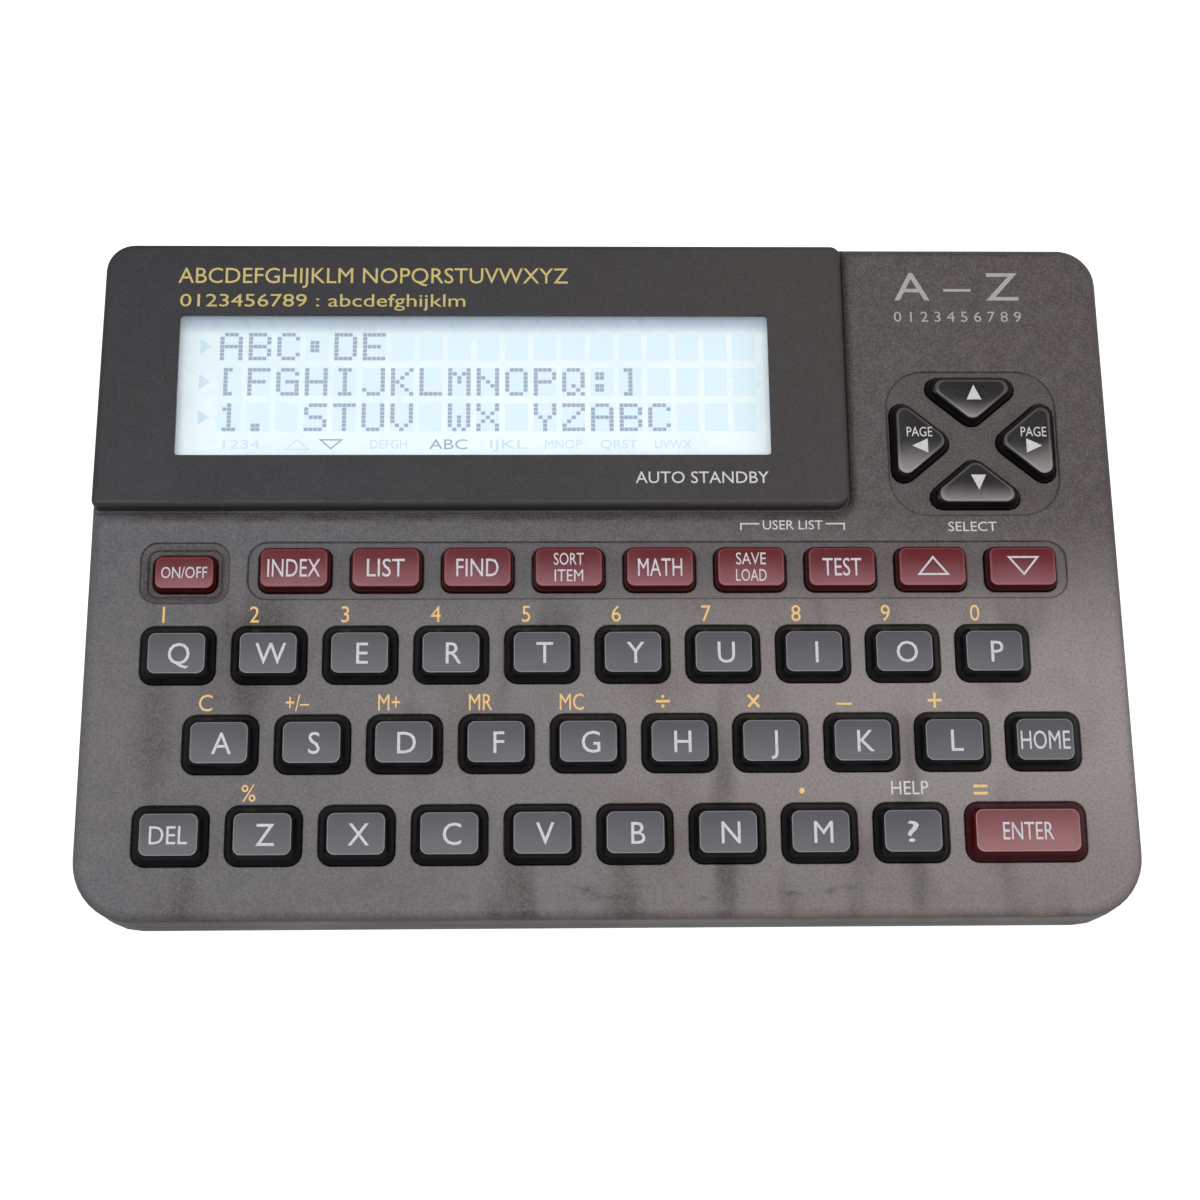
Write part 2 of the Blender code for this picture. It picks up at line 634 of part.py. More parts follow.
def make_top_case(parts, cutters, shapes, layout, surface):
    sections = [case_section(0, PARTING_Z + GAP)]
    sections += [
        case_section(distance, FIELD_Z - TOP_FILLET + height) for distance, height in fillet(TOP_FILLET)
    ]
    case = lofts("top_case", [sections], parts, surface)
    hollow = [case_section(CASE_WALL, PARTING_Z - OVERRUN), case_section(CASE_WALL, CEILING_Z)]
    combine(case, lofts("top_hollow", [hollow], cutters), "DIFFERENCE")
    rebate_inset = CASE_WALL - TONGUE_THICKNESS - GAP
    rebate_top = PARTING_Z + TONGUE_HEIGHT + GAP
    rebate = [case_section(rebate_inset, PARTING_Z - OVERRUN), case_section(rebate_inset, rebate_top)]
    combine(case, lofts("tongue_rebate", [rebate], cutters), "DIFFERENCE")

    boss_bottom = SUPPORT_TOP_Z + GAP
    bosses = cylinders(
        "top_bosses", screw_places(), SCREW_BOSS_RADIUS, boss_bottom, CEILING_Z + GAP, cutters
    )
    combine(case, bosses, "UNION")
    frame_outlines = [
        window_outline(GLASS_MARGIN_X + GAP + GLASS_FRAME_WALL, GLASS_MARGIN_Y + GAP + GLASS_FRAME_WALL),
        window_outline(GLASS_MARGIN_X + GAP, GLASS_MARGIN_Y + GAP),
    ]
    frame = plate("glass_frame", frame_outlines, GLASS_BOTTOM_Z, CEILING_Z + GAP, cutters)
    combine(case, frame, "UNION")
    glass_hole = plate("glass_hole", frame_outlines[1:], GLASS_BOTTOM_Z - OVERRUN, FIELD_Z + OVERRUN, cutters)

    combine(case, panel_pocket(cutters), "DIFFERENCE")
    combine(case, glass_hole, "DIFFERENCE")
    for recess in key_recesses(cutters):
        combine(case, recess, "DIFFERENCE")
    holes = []
    for _, kind, x, y, turn in layout:
        outline = turned_outline(shapes[kind].aperture(0, 0), turn, x, y)
        holes.append([(outline, CEILING_Z - OVERRUN), (outline, FIELD_Z + OVERRUN)])
    combine(case, lofts("key_holes", holes, cutters), "DIFFERENCE")
    pilot_radius = SCREW_SHANK_RADIUS + GAP
    pilots = cylinders(
        "pilot_holes", screw_places(), pilot_radius, SUPPORT_TOP_Z - OVERRUN, CEILING_Z - GAP, cutters
    )
    combine(case, pilots, "DIFFERENCE")
    return case


def panel_pocket(cutters):
    """The stepped seat of the display block, with its two coves rolling down from the field."""
    sections = []
    for step in range(FILLET_STEPS + 1):
        angle = math.pi / 2 * step / FILLET_STEPS
        spread = 1 - math.cos(angle)
        outline = rectangle(
            -HALF_WIDTH - OVERRUN,
            PANEL_RIGHT_X + GAP + COVE_SIDE * spread,
            PANEL_FRONT_Y - GAP - COVE_FRONT * spread,
            HALF_DEPTH + OVERRUN,
        )
        radius = PANEL_FRONT_RIGHT_RADIUS + GAP + COVE_SIDE * spread
        radii = [PANEL_FRONT_LEFT_RADIUS, radius, PANEL_REAR_RIGHT_RADIUS, REAR_LEFT_RADIUS]
        sections.append((rounded(outline, radii, SMALL_CORNER_STEPS), SEAT_Z + PANEL_SINK * math.sin(angle)))
    sections.append((sections[-1][0], FIELD_Z + OVERRUN))
    return lofts("panel_pocket", [sections], cutters)


def key_recesses(cutters):
    """The shallow trough of the function keys, the arrow dish and the sloped power dish."""
    half_depth = FUNCTION_DEPTH / 2 + TROUGH_MARGIN_Y
    trough = rounded(
        rectangle(TROUGH_LEFT_X, TROUGH_RIGHT_X, FUNCTION_ROW_Y - half_depth, FUNCTION_ROW_Y + half_depth),
        TROUGH_CORNER_RADIUS,
        RECESS_CORNER_STEPS,
    )
    dish = rounded(
        rectangle(
            ARROW_CENTRE_X - ARROW_DISH_X,
            ARROW_CENTRE_X + ARROW_DISH_X,
            ARROW_CENTRE_Y - ARROW_DISH_Y,
            ARROW_CENTRE_Y + ARROW_DISH_Y,
        ),
        ARROW_DISH_RADIUS,
        RECESS_CORNER_STEPS,
    )
    mouth_x = POWER_KEY_WIDTH / 2 + POWER_DISH_MARGIN
    mouth_y = POWER_KEY_DEPTH / 2 + POWER_DISH_MARGIN
    mouth = rectangle(
        POWER_KEY_X - mouth_x, POWER_KEY_X + mouth_x, POWER_KEY_Y - mouth_y, POWER_KEY_Y + mouth_y
    )
    floor = rounded(inset(mouth, POWER_DISH_SLOPE), POWER_DISH_RADIUS - POWER_DISH_SLOPE, RECESS_CORNER_STEPS)
    mouth = rounded(mouth, POWER_DISH_RADIUS, RECESS_CORNER_STEPS)
    above = FIELD_Z + OVERRUN
    return [
        lofts("function_trough", [[(trough, FIELD_Z - TROUGH_DEPTH), (trough, above)]], cutters),
        lofts("arrow_dish", [[(dish, FIELD_Z - ARROW_DISH_DEPTH), (dish, above)]], cutters),
        lofts(
            "power_dish", [[(floor, FIELD_Z - POWER_DISH_DEPTH), (mouth, FIELD_Z), (mouth, above)]], cutters
        ),
    ]


def bottom_outer(name, collection, surface=None):
    """The outer form of the lower shell, which the battery cover shares at the rear edge."""
    sections = [
        case_section(distance, FOOT_HEIGHT + BOTTOM_FILLET - height)
        for distance, height in reversed(fillet(BOTTOM_FILLET))
    ]
    sections.append(case_section(0, PARTING_Z))
    return lofts(name, [sections], collection, surface)


def cover_solid(name, clearance, rear_y, collection):
    """The dovetailed battery cover, or its channel when the clearance is set."""
    front = COVER_FRONT_Y - clearance
    outer = COVER_HALF_WIDTH - DOVETAIL + clearance
    inner = COVER_HALF_WIDTH + clearance
    sections = [
        (rectangle(-outer, outer, front, rear_y), FOOT_HEIGHT),
        (rectangle(-inner, inner, front, rear_y), COVER_TOP_Z + clearance),
    ]
    if clearance:
        sections.insert(0, (sections[0][0], FOOT_HEIGHT - OVERRUN))
    return lofts(name, [sections], collection)


def make_bottom_case(parts, cutters, surface):
    case = bottom_outer("bottom_case", parts, surface)
    hollow = [case_section(CASE_WALL, FLOOR_TOP_Z), case_section(CASE_WALL, PARTING_Z + OVERRUN)]
    combine(case, lofts("bottom_hollow", [hollow], cutters), "DIFFERENCE")
    tongue_inset = CASE_WALL - TONGUE_THICKNESS
    tongue_outlines = [case_section(tongue_inset, 0)[0], case_section(CASE_WALL, 0)[0]]
    tongue = plate("tongue", tongue_outlines, PARTING_Z - GAP, PARTING_Z + TONGUE_HEIGHT, cutters)
    combine(case, tongue, "UNION")

    column_radius = SCREW_HEAD_RADIUS + SCREW_HEAD_CLEARANCE + SCREW_COLUMN_WALL
    columns = cylinders(
        "screw_columns", screw_places(), column_radius, FOOT_HEIGHT + GAP, SUPPORT_TOP_Z, cutters
    )
    combine(case, columns, "UNION")
    posts = [(BOARD_HALF_WIDTH * x, BOARD_HALF_DEPTH * y) for x, y in POST_SHARES]
    combine(
        case,
        cylinders("board_posts", posts, POST_RADIUS, FLOOR_TOP_Z - GAP, SUPPORT_TOP_Z, cutters, DOME_SIDES),
        "UNION",
    )
    feet = [(x * FOOT_X, y * FOOT_Y) for x in (-1, 1) for y in (-1, 1)]
    combine(case, cylinders("feet", feet, FOOT_RADIUS, 0, FOOT_HEIGHT + GAP, cutters), "UNION")
    bay_walls = plate(
        "bay_walls", [bay_outline(BAY_WALL), bay_outline(0)], FLOOR_TOP_Z - GAP, SUPPORT_TOP_Z, cutters
    )
    combine(case, bay_walls, "UNION")

    channel = cover_solid("cover_channel", GAP, HALF_DEPTH + OVERRUN, cutters)
    combine(case, channel, "DIFFERENCE")
    bay = plate("battery_bay", [bay_outline(0)], FOOT_HEIGHT, FLOOR_TOP_Z + OVERRUN, cutters)
    combine(case, bay, "DIFFERENCE")
    head_hole = SCREW_HEAD_RADIUS + SCREW_HEAD_CLEARANCE
    seat_z = FOOT_HEIGHT + SCREW_SEAT_DEPTH
    counterbores = cylinders(
        "counterbores", screw_places(), head_hole, FOOT_HEIGHT - OVERRUN, seat_z, cutters
    )
    combine(case, counterbores, "DIFFERENCE")
    clearance_radius = SCREW_SHANK_RADIUS + GAP
    shank_holes = cylinders(
        "shank_holes", screw_places(), clearance_radius, seat_z - GAP, SUPPORT_TOP_Z + OVERRUN, cutters
    )
    combine(case, shank_holes, "DIFFERENCE")
    reset = cylinders(
        "reset_hole", [(RESET_HOLE_X, BAY_Y)], RESET_HOLE_RADIUS, -OVERRUN, FLOOR_TOP_Z + OVERRUN, cutters
    )
    combine(case, reset, "DIFFERENCE")


def make_battery_cover(parts, cutters, surface):
    """The sliding cover: its rear end follows the case edge, and grooves near the front give grip."""
    cover = cover_solid("battery_cover", 0, HALF_DEPTH + OVERRUN, parts)
    cover.data.materials.append(surface)
    combine(cover, bottom_outer("cover_edge", cutters), "INTERSECT")
    grooves = []
    for index in range(GRIP_GROOVES):
        y = COVER_FRONT_Y + (index + 2) * GRIP_GROOVE_PITCH
        outline = rectangle(-CELL_X, CELL_X, y - GRIP_GROOVE_WIDTH / 2, y + GRIP_GROOVE_WIDTH / 2)
        grooves.append([(outline, FOOT_HEIGHT - OVERRUN), (outline, FOOT_HEIGHT + GRIP_GROOVE_DEPTH)])
    combine(cover, lofts("grip_grooves", grooves, cutters), "DIFFERENCE")


def make_power(parts, surfaces):
    """Two coin cells and the strip that joins them in series under the board."""
    profile = [
        (0, CELL_HEIGHT),
        (CELL_RADIUS - 2 * CELL_EDGE, CELL_HEIGHT),
        (CELL_RADIUS - CELL_EDGE, CELL_HEIGHT - CELL_EDGE),
        (CELL_RADIUS, CELL_HEIGHT - CELL_EDGE),
        (CELL_RADIUS, CELL_EDGE),
        (CELL_RADIUS - CELL_EDGE, 0),
        (0, 0),
    ]
    for name, side in (("battery_left", -1), ("battery_right", 1)):
        cell = turned(name, profile, 2 * ROUND_SIDES, parts, surfaces["metal"])
        cell.location = (side * CELL_X, BAY_Y, CELL_BOTTOM_Z)
    half_length = CELL_X + CLIP_WIDTH / 2
    outline = rectangle(-half_length, half_length, BAY_Y - CLIP_WIDTH / 2, BAY_Y + CLIP_WIDTH / 2)
    clip = rounded(outline, CLIP_WIDTH / 2 - GAP, SMALL_CORNER_STEPS)
    plate("battery_clip", [clip], CLIP_BOTTOM_Z, CLIP_TOP_Z, parts, surfaces["metal"])


def make_electronics(parts, cutters, layout, surfaces):
    """The main board and, on its keyboard side, the rubber sheet with a dome under every key."""
    board = rectangle(-BOARD_HALF_WIDTH, BOARD_HALF_WIDTH, -BOARD_HALF_DEPTH, BOARD_HALF_DEPTH)
    board_outline = rounded(board, FRONT_CORNER_RADIUS / 2, SMALL_CORNER_STEPS)
    plate("main_board", [board_outline], BOARD_BOTTOM_Z, BOARD_TOP_Z, parts, surfaces["board"])

    right = BOARD_HALF_WIDTH - SHEET_MARGIN
    front = -BOARD_HALF_DEPTH + SHEET_MARGIN
    step_x = ARROW_CENTRE_X - ARROW_REACH_X - SHEET_MARGIN
    step_y = PANEL_FRONT_Y - SHEET_MARGIN
    rear = ARROW_CENTRE_Y + ARROW_REACH_Y + SHEET_MARGIN
    corners = [
        (-right, front),
        (right, front),
        (right, rear),
        (step_x, rear),
        (step_x, step_y),
        (-right, step_y),
    ]
    outline = rounded([Vector(corner) for corner in corners], FRONT_CORNER_RADIUS / 4, HOLE_CORNER_STEPS)
    sheet = plate("keypad_sheet", [outline], SHEET_BOTTOM_Z, SHEET_TOP_Z, parts, surfaces["rubber"])
    places = [(x, y) for _, _, x, y, _ in layout]
    dome_top = SHEET_TOP_Z + DOME_HEIGHT
    domes = cylinders(
        "domes", places, DOME_RADIUS, SHEET_TOP_Z - GAP, dome_top, cutters, DOME_SIDES, DOME_TOP_RADIUS
    )
    combine(sheet, domes, "UNION")


def make_display(parts, cutters, surfaces):
    """The raised block, its clear pane, the glass and the strip that feeds it from the board."""
    left = -HALF_WIDTH + PANEL_EDGE_INSET
    rear = HALF_DEPTH - PANEL_EDGE_INSET
    block = rectangle(left, PANEL_RIGHT_X, PANEL_FRONT_Y, rear)
    radii = [
        PANEL_FRONT_LEFT_RADIUS,
        PANEL_FRONT_RIGHT_RADIUS,
        PANEL_REAR_RIGHT_RADIUS,
        REAR_LEFT_RADIUS - PANEL_EDGE_INSET,
    ]
    profile = [(0, PANEL_BOTTOM_Z)]
    profile += [(distance, PANEL_TOP_Z - PANEL_FILLET + height) for distance, height in fillet(PANEL_FILLET)]
    sections = []
    for distance, height in profile:
        section_radii = [radius - distance for radius in radii]
        sections.append((rounded(inset(block, distance), section_radii, CORNER_STEPS), height))
    panel = lofts("display_panel", [sections], parts, surfaces["panel"])
    opening = rounded(window_outline(0, 0), WINDOW_RADIUS, SMALL_CORNER_STEPS)
    window_hole = plate("window_hole", [opening], PANEL_BOTTOM_Z, PANEL_TOP_Z + OVERRUN, cutters)
    combine(panel, window_hole, "DIFFERENCE")
    pane_room = window_outline(PANE_LEDGE + GAP, PANE_LEDGE + GAP)
    room = plate("pane_room", [pane_room], PANEL_BOTTOM_Z - OVERRUN, PANE_TOP_Z + GAP, cutters)
    combine(panel, room, "DIFFERENCE")

    pane = window_outline(PANE_LEDGE, PANE_LEDGE)
    plate("display_window", [pane], PANE_BOTTOM_Z, PANE_TOP_Z, parts, surfaces["pane"])
    glass = window_outline(GLASS_MARGIN_X, GLASS_MARGIN_Y)
    plate("lcd_glass", [glass], GLASS_BOTTOM_Z, GLASS_TOP_Z, parts, surfaces["glass"])
    front = glass[0].y + GAP
    strip = rectangle(glass[0].x + STRIP_MARGIN, glass[1].x - STRIP_MARGIN, front, front + STRIP_WIDTH)
    plate("elastomer_strip", [strip], BOARD_TOP_Z + GAP, GLASS_BOTTOM_Z - GAP, parts, surfaces["rubber"])


def make_screws(parts, surface):
    """Four pan-head screws, driven from below into the bosses of the upper shell."""
    head_top = FOOT_HEIGHT + SCREW_SEAT_DEPTH - GAP
    tip = CEILING_Z - 2 * GAP
    profile = [
        (0, tip),
        (SCREW_SHANK_RADIUS / 2, tip),
        (SCREW_SHANK_RADIUS, tip - SCREW_SHANK_RADIUS),
        (SCREW_SHANK_RADIUS, head_top),
        (SCREW_HEAD_RADIUS, head_top),
        (SCREW_HEAD_RADIUS, head_top - SCREW_HEAD_HEIGHT / 2),
        (SCREW_HEAD_RADIUS / 2, head_top - SCREW_HEAD_HEIGHT),
        (0, head_top - SCREW_HEAD_HEIGHT),
    ]
    names = ("screw_front_left", "screw_front_right", "screw_rear_left", "screw_rear_right")
    for name, (x, y) in zip(names, screw_places()):
        screw = turned(name, profile, ROUND_SIDES, parts, surface)
        screw.location = (x, y, 0)


def main():
    clear_scene()
    parts = new_collection("electronic_dictionary")
    cutters = new_collection("cutters")
    case = material("case_plastic", (0.105, 0.098, 0.096), 0.55)
    black = material("key_black", (0.030, 0.031, 0.033), 0.35)
    red = material("key_red", (0.190, 0.028, 0.035), 0.40)
    surfaces = {
        "letter": black,
        "enter": red,
        "function": red,
        "power": red,
        "vertical": material("arrow_black", (0.022, 0.022, 0.024), 0.22),
        "panel": material("panel_plastic", (0.040, 0.039, 0.042), 0.60),
        "pane": material("clear_pane", (0.80, 0.86, 0.90), 0.05),
        "glass": material("lcd_glass", (0.62, 0.72, 0.78), 0.15),
        "rubber": material("grey_rubber", (0.30, 0.30, 0.31), 0.80),
        "board": material("board_green", (0.05, 0.17, 0.09), 0.50),
        "metal": material("bright_metal", (0.72, 0.71, 0.69), 0.30, 1.0),
    }
    surfaces["horizontal"] = surfaces["vertical"]
    shapes = key_shapes()
    layout = key_layout()
    make_top_case(parts, cutters, shapes, layout, case)
    make_bottom_case(parts, cutters, case)
    make_battery_cover(parts, cutters, case)
    make_display(parts, cutters, surfaces)
    make_electronics(parts, cutters, layout, surfaces)
    make_power(parts, surfaces)
    make_keys(parts, cutters, shapes, layout, surfaces)
    make_screws(parts, surfaces["metal"])


main()
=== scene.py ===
"""Looks of an electronic dictionary: housing, keys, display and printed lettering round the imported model.

Lengths are metres in the model's own frame: +Z up, +Y from the keyboard to the display, and the origin on
the rest plane under the middle of the case.
"""

import logging
import math
from collections.abc import Callable
from dataclasses import dataclass
from enum import Enum

import bmesh
import bpy
from mathutils import Matrix, Vector


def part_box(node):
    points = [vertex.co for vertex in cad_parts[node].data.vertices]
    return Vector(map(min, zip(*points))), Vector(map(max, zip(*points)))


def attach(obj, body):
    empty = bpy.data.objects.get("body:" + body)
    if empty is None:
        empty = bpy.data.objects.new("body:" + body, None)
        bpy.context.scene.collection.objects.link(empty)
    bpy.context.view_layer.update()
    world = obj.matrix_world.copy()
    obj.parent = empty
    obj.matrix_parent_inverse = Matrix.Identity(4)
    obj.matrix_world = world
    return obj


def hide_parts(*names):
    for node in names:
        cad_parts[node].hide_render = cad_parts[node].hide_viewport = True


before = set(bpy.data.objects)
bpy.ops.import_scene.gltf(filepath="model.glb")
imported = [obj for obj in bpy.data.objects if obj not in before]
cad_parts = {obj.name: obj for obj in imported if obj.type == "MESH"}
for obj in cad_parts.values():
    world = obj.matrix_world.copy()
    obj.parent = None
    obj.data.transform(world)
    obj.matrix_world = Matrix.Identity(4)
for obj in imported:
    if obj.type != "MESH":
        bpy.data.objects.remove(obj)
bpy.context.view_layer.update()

MM = 0.001
Colour = tuple[float, float, float]
Outline = list[Vector]
Section = tuple[Outline, float]
log = logging.getLogger("electronic_dictionary")

ROUND_STEPS = 10
LIP_STEPS = 4
LIP_TURN = math.radians(78)
COVE_TURN = math.radians(82)
PLATE_RING_SHARES = (0.985, 0.96, 0.9, 0.8, 0.6, 0.4, 0.2, 0.0)
OVERRUN = 3.0 * MM
MERGE = 0.001 * MM
SHARP = math.radians(38)
KEY_SHARP = math.radians(48)
FIT_GAP = 0.3 * MM
LINEAR_LIMIT = 10 / 255

# Printed and displayed marks
CAPITAL_SHARE = 0.73
INK_DEPTH = 0.012 * MM
MARK_EXTRUDE = 0.001
DOT_COLUMNS = 5
DOT_ROWS = 7
ARROW_TURNS = {"key_up": 0, "key_left": 1, "key_down": 2, "key_right": 3}

# Words on a key, each with its height and width in millimetres
KEY_WORDS = {
    "key_on_off": (("ON/OFF", 1.65, 6.1),),
    "key_function_1": (("INDEX", 2.6, 7.0),),
    "key_function_2": (("LIST", 2.6, 5.0),),
    "key_function_3": (("FIND", 2.6, 5.6),),
    "key_function_4": (("SORT", 1.75, 4.0), ("ITEM", 1.75, 3.8)),
    "key_function_5": (("MATH", 2.6, 5.9),),
    "key_function_6": (("SAVE", 1.75, 4.0), ("LOAD", 1.75, 4.1)),
    "key_function_7": (("TEST", 2.6, 5.2),),
    "key_clear": (("DEL", 2.5, 4.9),),
    "key_rate": (("HOME", 2.6, 6.5),),
    "key_enter": (("ENTER", 2.45, 6.6),),
    "key_question": (("?", 2.9, 1.5),),
}

# Middle of each faint sign along X, in millimetres
FAINT_SIGNS = {"1234": -49.8, "DEFGH": -29.8, "IJKL": -13.5, "MNOP": -6.0, "QRST": 1.6, "UVWX": 9.0}
DISPLAY_ROWS = ("ABC•DE", "[FGHIJKLMNOPQ:]", "1. STUV WX YZABC")
DOT_LETTERS = {
    "A": ".###. #...# #...# ##### #...# #...# #...#",
    "B": "####. #...# #...# ####. #...# #...# ####.",
    "C": ".###. #...# #.... #.... #.... #...# .###.",
    "D": "####. #...# #...# #...# #...# #...# ####.",
    "E": "##### #.... #.... ####. #.... #.... #####",
    "F": "##### #.... #.... ####. #.... #.... #....",
    "G": ".###. #...# #.... #.### #...# #...# .####",
    "H": "#...# #...# #...# ##### #...# #...# #...#",
    "I": ".###. ..#.. ..#.. ..#.. ..#.. ..#.. .###.",
    "J": "....# ....# ....# ....# ....# #...# .###.",
    "K": "#...# #..#. #.#.. ##... #.#.. #..#. #...#",
    "L": "#.... #.... #.... #.... #.... #.... #####",
    "M": "#...# ##.## #.#.# #.#.# #...# #...# #...#",
    "N": "#...# #...# ##..# #.#.# #..## #...# #...#",
    "O": ".###. #...# #...# #...# #...# #...# .###.",
    "P": "####. #...# #...# ####. #.... #.... #....",
    "Q": ".###. #...# #...# #...# #.#.# #..#. .##.#",
    "R": "####. #...# #...# ####. #.#.. #..#. #...#",
    "S": ".#### #.... #.... .###. ....# ....# ####.",
    "T": "##### ..#.. ..#.. ..#.. ..#.. ..#.. ..#..",
    "U": "#...# #...# #...# #...# #...# #...# .###.",
    "V": "#...# #...# #...# #...# #...# .#.#. ..#..",
    "W": "#...# #...# #...# #.#.# #.#.# #.#.# .#.#.",
    "X": "#...# #...# .#.#. ..#.. .#.#. #...# #...#",
    "Y": "#...# #...# #...# .#.#. ..#.. ..#.. ..#..",
    "Z": "##### ....# ...#. ..#.. .#... #.... #####",
    "1": "..#.. .##.. ..#.. ..#.. ..#.. ..#.. .###.",
    ".": "..... ..... ..... ..... ..... .##.. .##..",
    "•": "..... ..... .##.. .##.. .##.. ..... .....",
    ":": "..... .##.. .##.. ..... .##.. .##.. .....",
    "[": ".##.. .#... .#... .#... .#... .#... .##..",
    "]": ".##.. ..#.. ..#.. ..#.. ..#.. ..#.. .##..",
}


def tone(red: int, green: int, blue: int) -> Colour:
    """Linear colour of a display colour whose channels run from 0 to 255."""
    shares = (channel / 255 for channel in (red, green, blue))
    return tuple(((c + 0.055) / 1.055) ** 2.4 if c > LINEAR_LIMIT else c / 12.92 for c in shares)


class TreeBuilder:
    """Adds and links the nodes of one shader or geometry tree."""

    def __init__(self, tree: bpy.types.NodeTree) -> None:
        """Work on this tree, which starts empty."""
        self.tree = tree
        tree.nodes.clear()

    def add(self, kind: str, inputs: dict | None = None, **settings: object) -> bpy.types.Node:
        """Add a node.

        Args:
            kind: Blender's type name of the node.
            inputs: Socket name or number to a value, a socket, or a node whose first output is meant.
            settings: The node's own properties.

        Returns:
            The new node.
        """
        node = self.tree.nodes.new(kind)
        for name, value in settings.items():
            setattr(node, name, value)
        for key, value in (inputs or {}).items():
            if isinstance(value, bpy.types.Node):
                value = value.outputs[0]
            if isinstance(value, bpy.types.NodeSocket):
                self.tree.links.new(value, node.inputs[key])
            else:
                node.inputs[key].default_value = value
        return node

    def math(self, operation: str, first: object, second: object = 0.0) -> bpy.types.NodeSocket:
        """The result of a Math node on two values or sockets."""
        return self.add("ShaderNodeMath", {0: first, 1: second}, operation=operation).outputs[0]

    def product(self, first: object, second: object) -> bpy.types.NodeSocket:
        """Two values or sockets multiplied."""
        return self.math("MULTIPLY", first, second)

    def split(self, vector: object) -> bpy.types.NodeOutputs:
        """The X, Y and Z of a vector."""
        return self.add("ShaderNodeSeparateXYZ", {0: vector}).outputs

    def fade(
        self, value: object, start: float, end: float, low: float = 0.0, high: float = 1.0
    ) -> bpy.types.NodeSocket:
        """A smooth step.

        Args:
            value: What is measured.
            start: Measure at which the step begins.
            end: Measure at which it is complete.
            low: Result before the step.
            high: Result after it.

        Returns:
            The stepped value.
        """
        step = self.add(
            "ShaderNodeMapRange",
            {0: value, 1: start, 2: end, 3: low, 4: high},
            interpolation_type="SMOOTHSTEP",
        )
        return step.outputs[0]

    def blend(self, share: object, first: object, second: object) -> bpy.types.NodeSocket:
        """A colour between two, by the share of the second."""
        values = {0: share, 6: self._rgba(first), 7: self._rgba(second)}
        return self.add("ShaderNodeMix", values, data_type="RGBA").outputs[2]

    @staticmethod
    def _rgba(value: object) -> object:
        """A plain colour with its alpha; sockets pass through."""
        return (*value, 1.0) if isinstance(value, tuple) else value


class Surface(TreeBuilder):
    """A new material, its Principled shader and the coordinates that its patterns read."""

    def __init__(self, name: str) -> None:
        """Make the material and its output."""
        self.material = bpy.data.materials.new(name)
        self.material.use_nodes = True
        super().__init__(self.material.node_tree)
        self.shader = self.add("ShaderNodeBsdfPrincipled")
        self.add("ShaderNodeOutputMaterial", {"Surface": self.shader})
        self.place = self.add("ShaderNodeTexCoord").outputs["Object"]
        self.axes = self.split(self.place)

    def noise(self, scale: float, detail: float = 2.0, stretch: tuple | None = None) -> bpy.types.NodeSocket:
        """Noise on the object's own coordinates.

        Args:
            scale: Patterns per metre.
            detail: How many finer layers it has.
            stretch: Scale along X, Y and Z before the noise, or None.

        Returns:
            The noise from 0 to 1.
        """
        where = self.place
        if stretch:
            where = self.add("ShaderNodeMapping", {"Vector": where, "Scale": stretch}).outputs[0]
        return self.add("ShaderNodeTexNoise", {"Vector": where, "Scale": scale, "Detail": detail}).outputs[0]

    def specks(self, per_metre: float, radius: float, share: float) -> bpy.types.NodeSocket:
        """Round specks of dust: 1 on a speck.

        Args:
            per_metre: Cells along a metre, each with at most one speck.
            radius: Radius of a speck in metres.
            share: Share of the cells that hold one.

        Returns:
            The mask.
        """
        cells = self.add("ShaderNodeTexVoronoi", {"Vector": self.place, "Scale": per_metre})
        near = self.math("LESS_THAN", cells.outputs["Distance"], radius * per_metre)
        chance = self.add("ShaderNodeSeparateColor", {0: cells.outputs["Color"]}).outputs[0]
        up = self.split(self.add("ShaderNodeNewGeometry").outputs["Normal"])[2]
        flat = self.math("GREATER_THAN", up, 0.8)
        picked = self.math("LESS_THAN", chance, share)
        return self.product(self.product(near, picked), flat)

    def rounded_edge(self) -> bpy.types.NodeSocket:
        """1 where the surface rolls over between upright and flat, as on a fillet.

        Returns:
            The mask.
        """
        normal = self.add("ShaderNodeNewGeometry").outputs["Normal"]
        up = self.split(normal)[2]
        return self.product(self.fade(up, 0.2, 0.5), self.fade(up, 0.8, 0.99, 1.0, 0.0))

    def bump(self, height: object, distance: float, strength: float = 1.0) -> None:
        """Give the shader a bump from this height."""
        inputs = {"Height": height, "Distance": distance, "Strength": strength}
        self.set(Normal=self.add("ShaderNodeBump", inputs))

    def set(self, **inputs: object) -> None:
        """Set or link the shader's sockets; a socket name has its spaces as underscores.

        Args:
            inputs: Value, node or socket for each socket.
        """
        for name, value in inputs.items():
            socket = self.shader.inputs[name.replace("_", " ")]
            if isinstance(value, bpy.types.Node):
                value = value.outputs[0]
            if isinstance(value, bpy.types.NodeSocket):
                self.tree.links.new(value, socket)
            else:
                socket.default_value = (*value, 1.0) if isinstance(value, tuple) else value


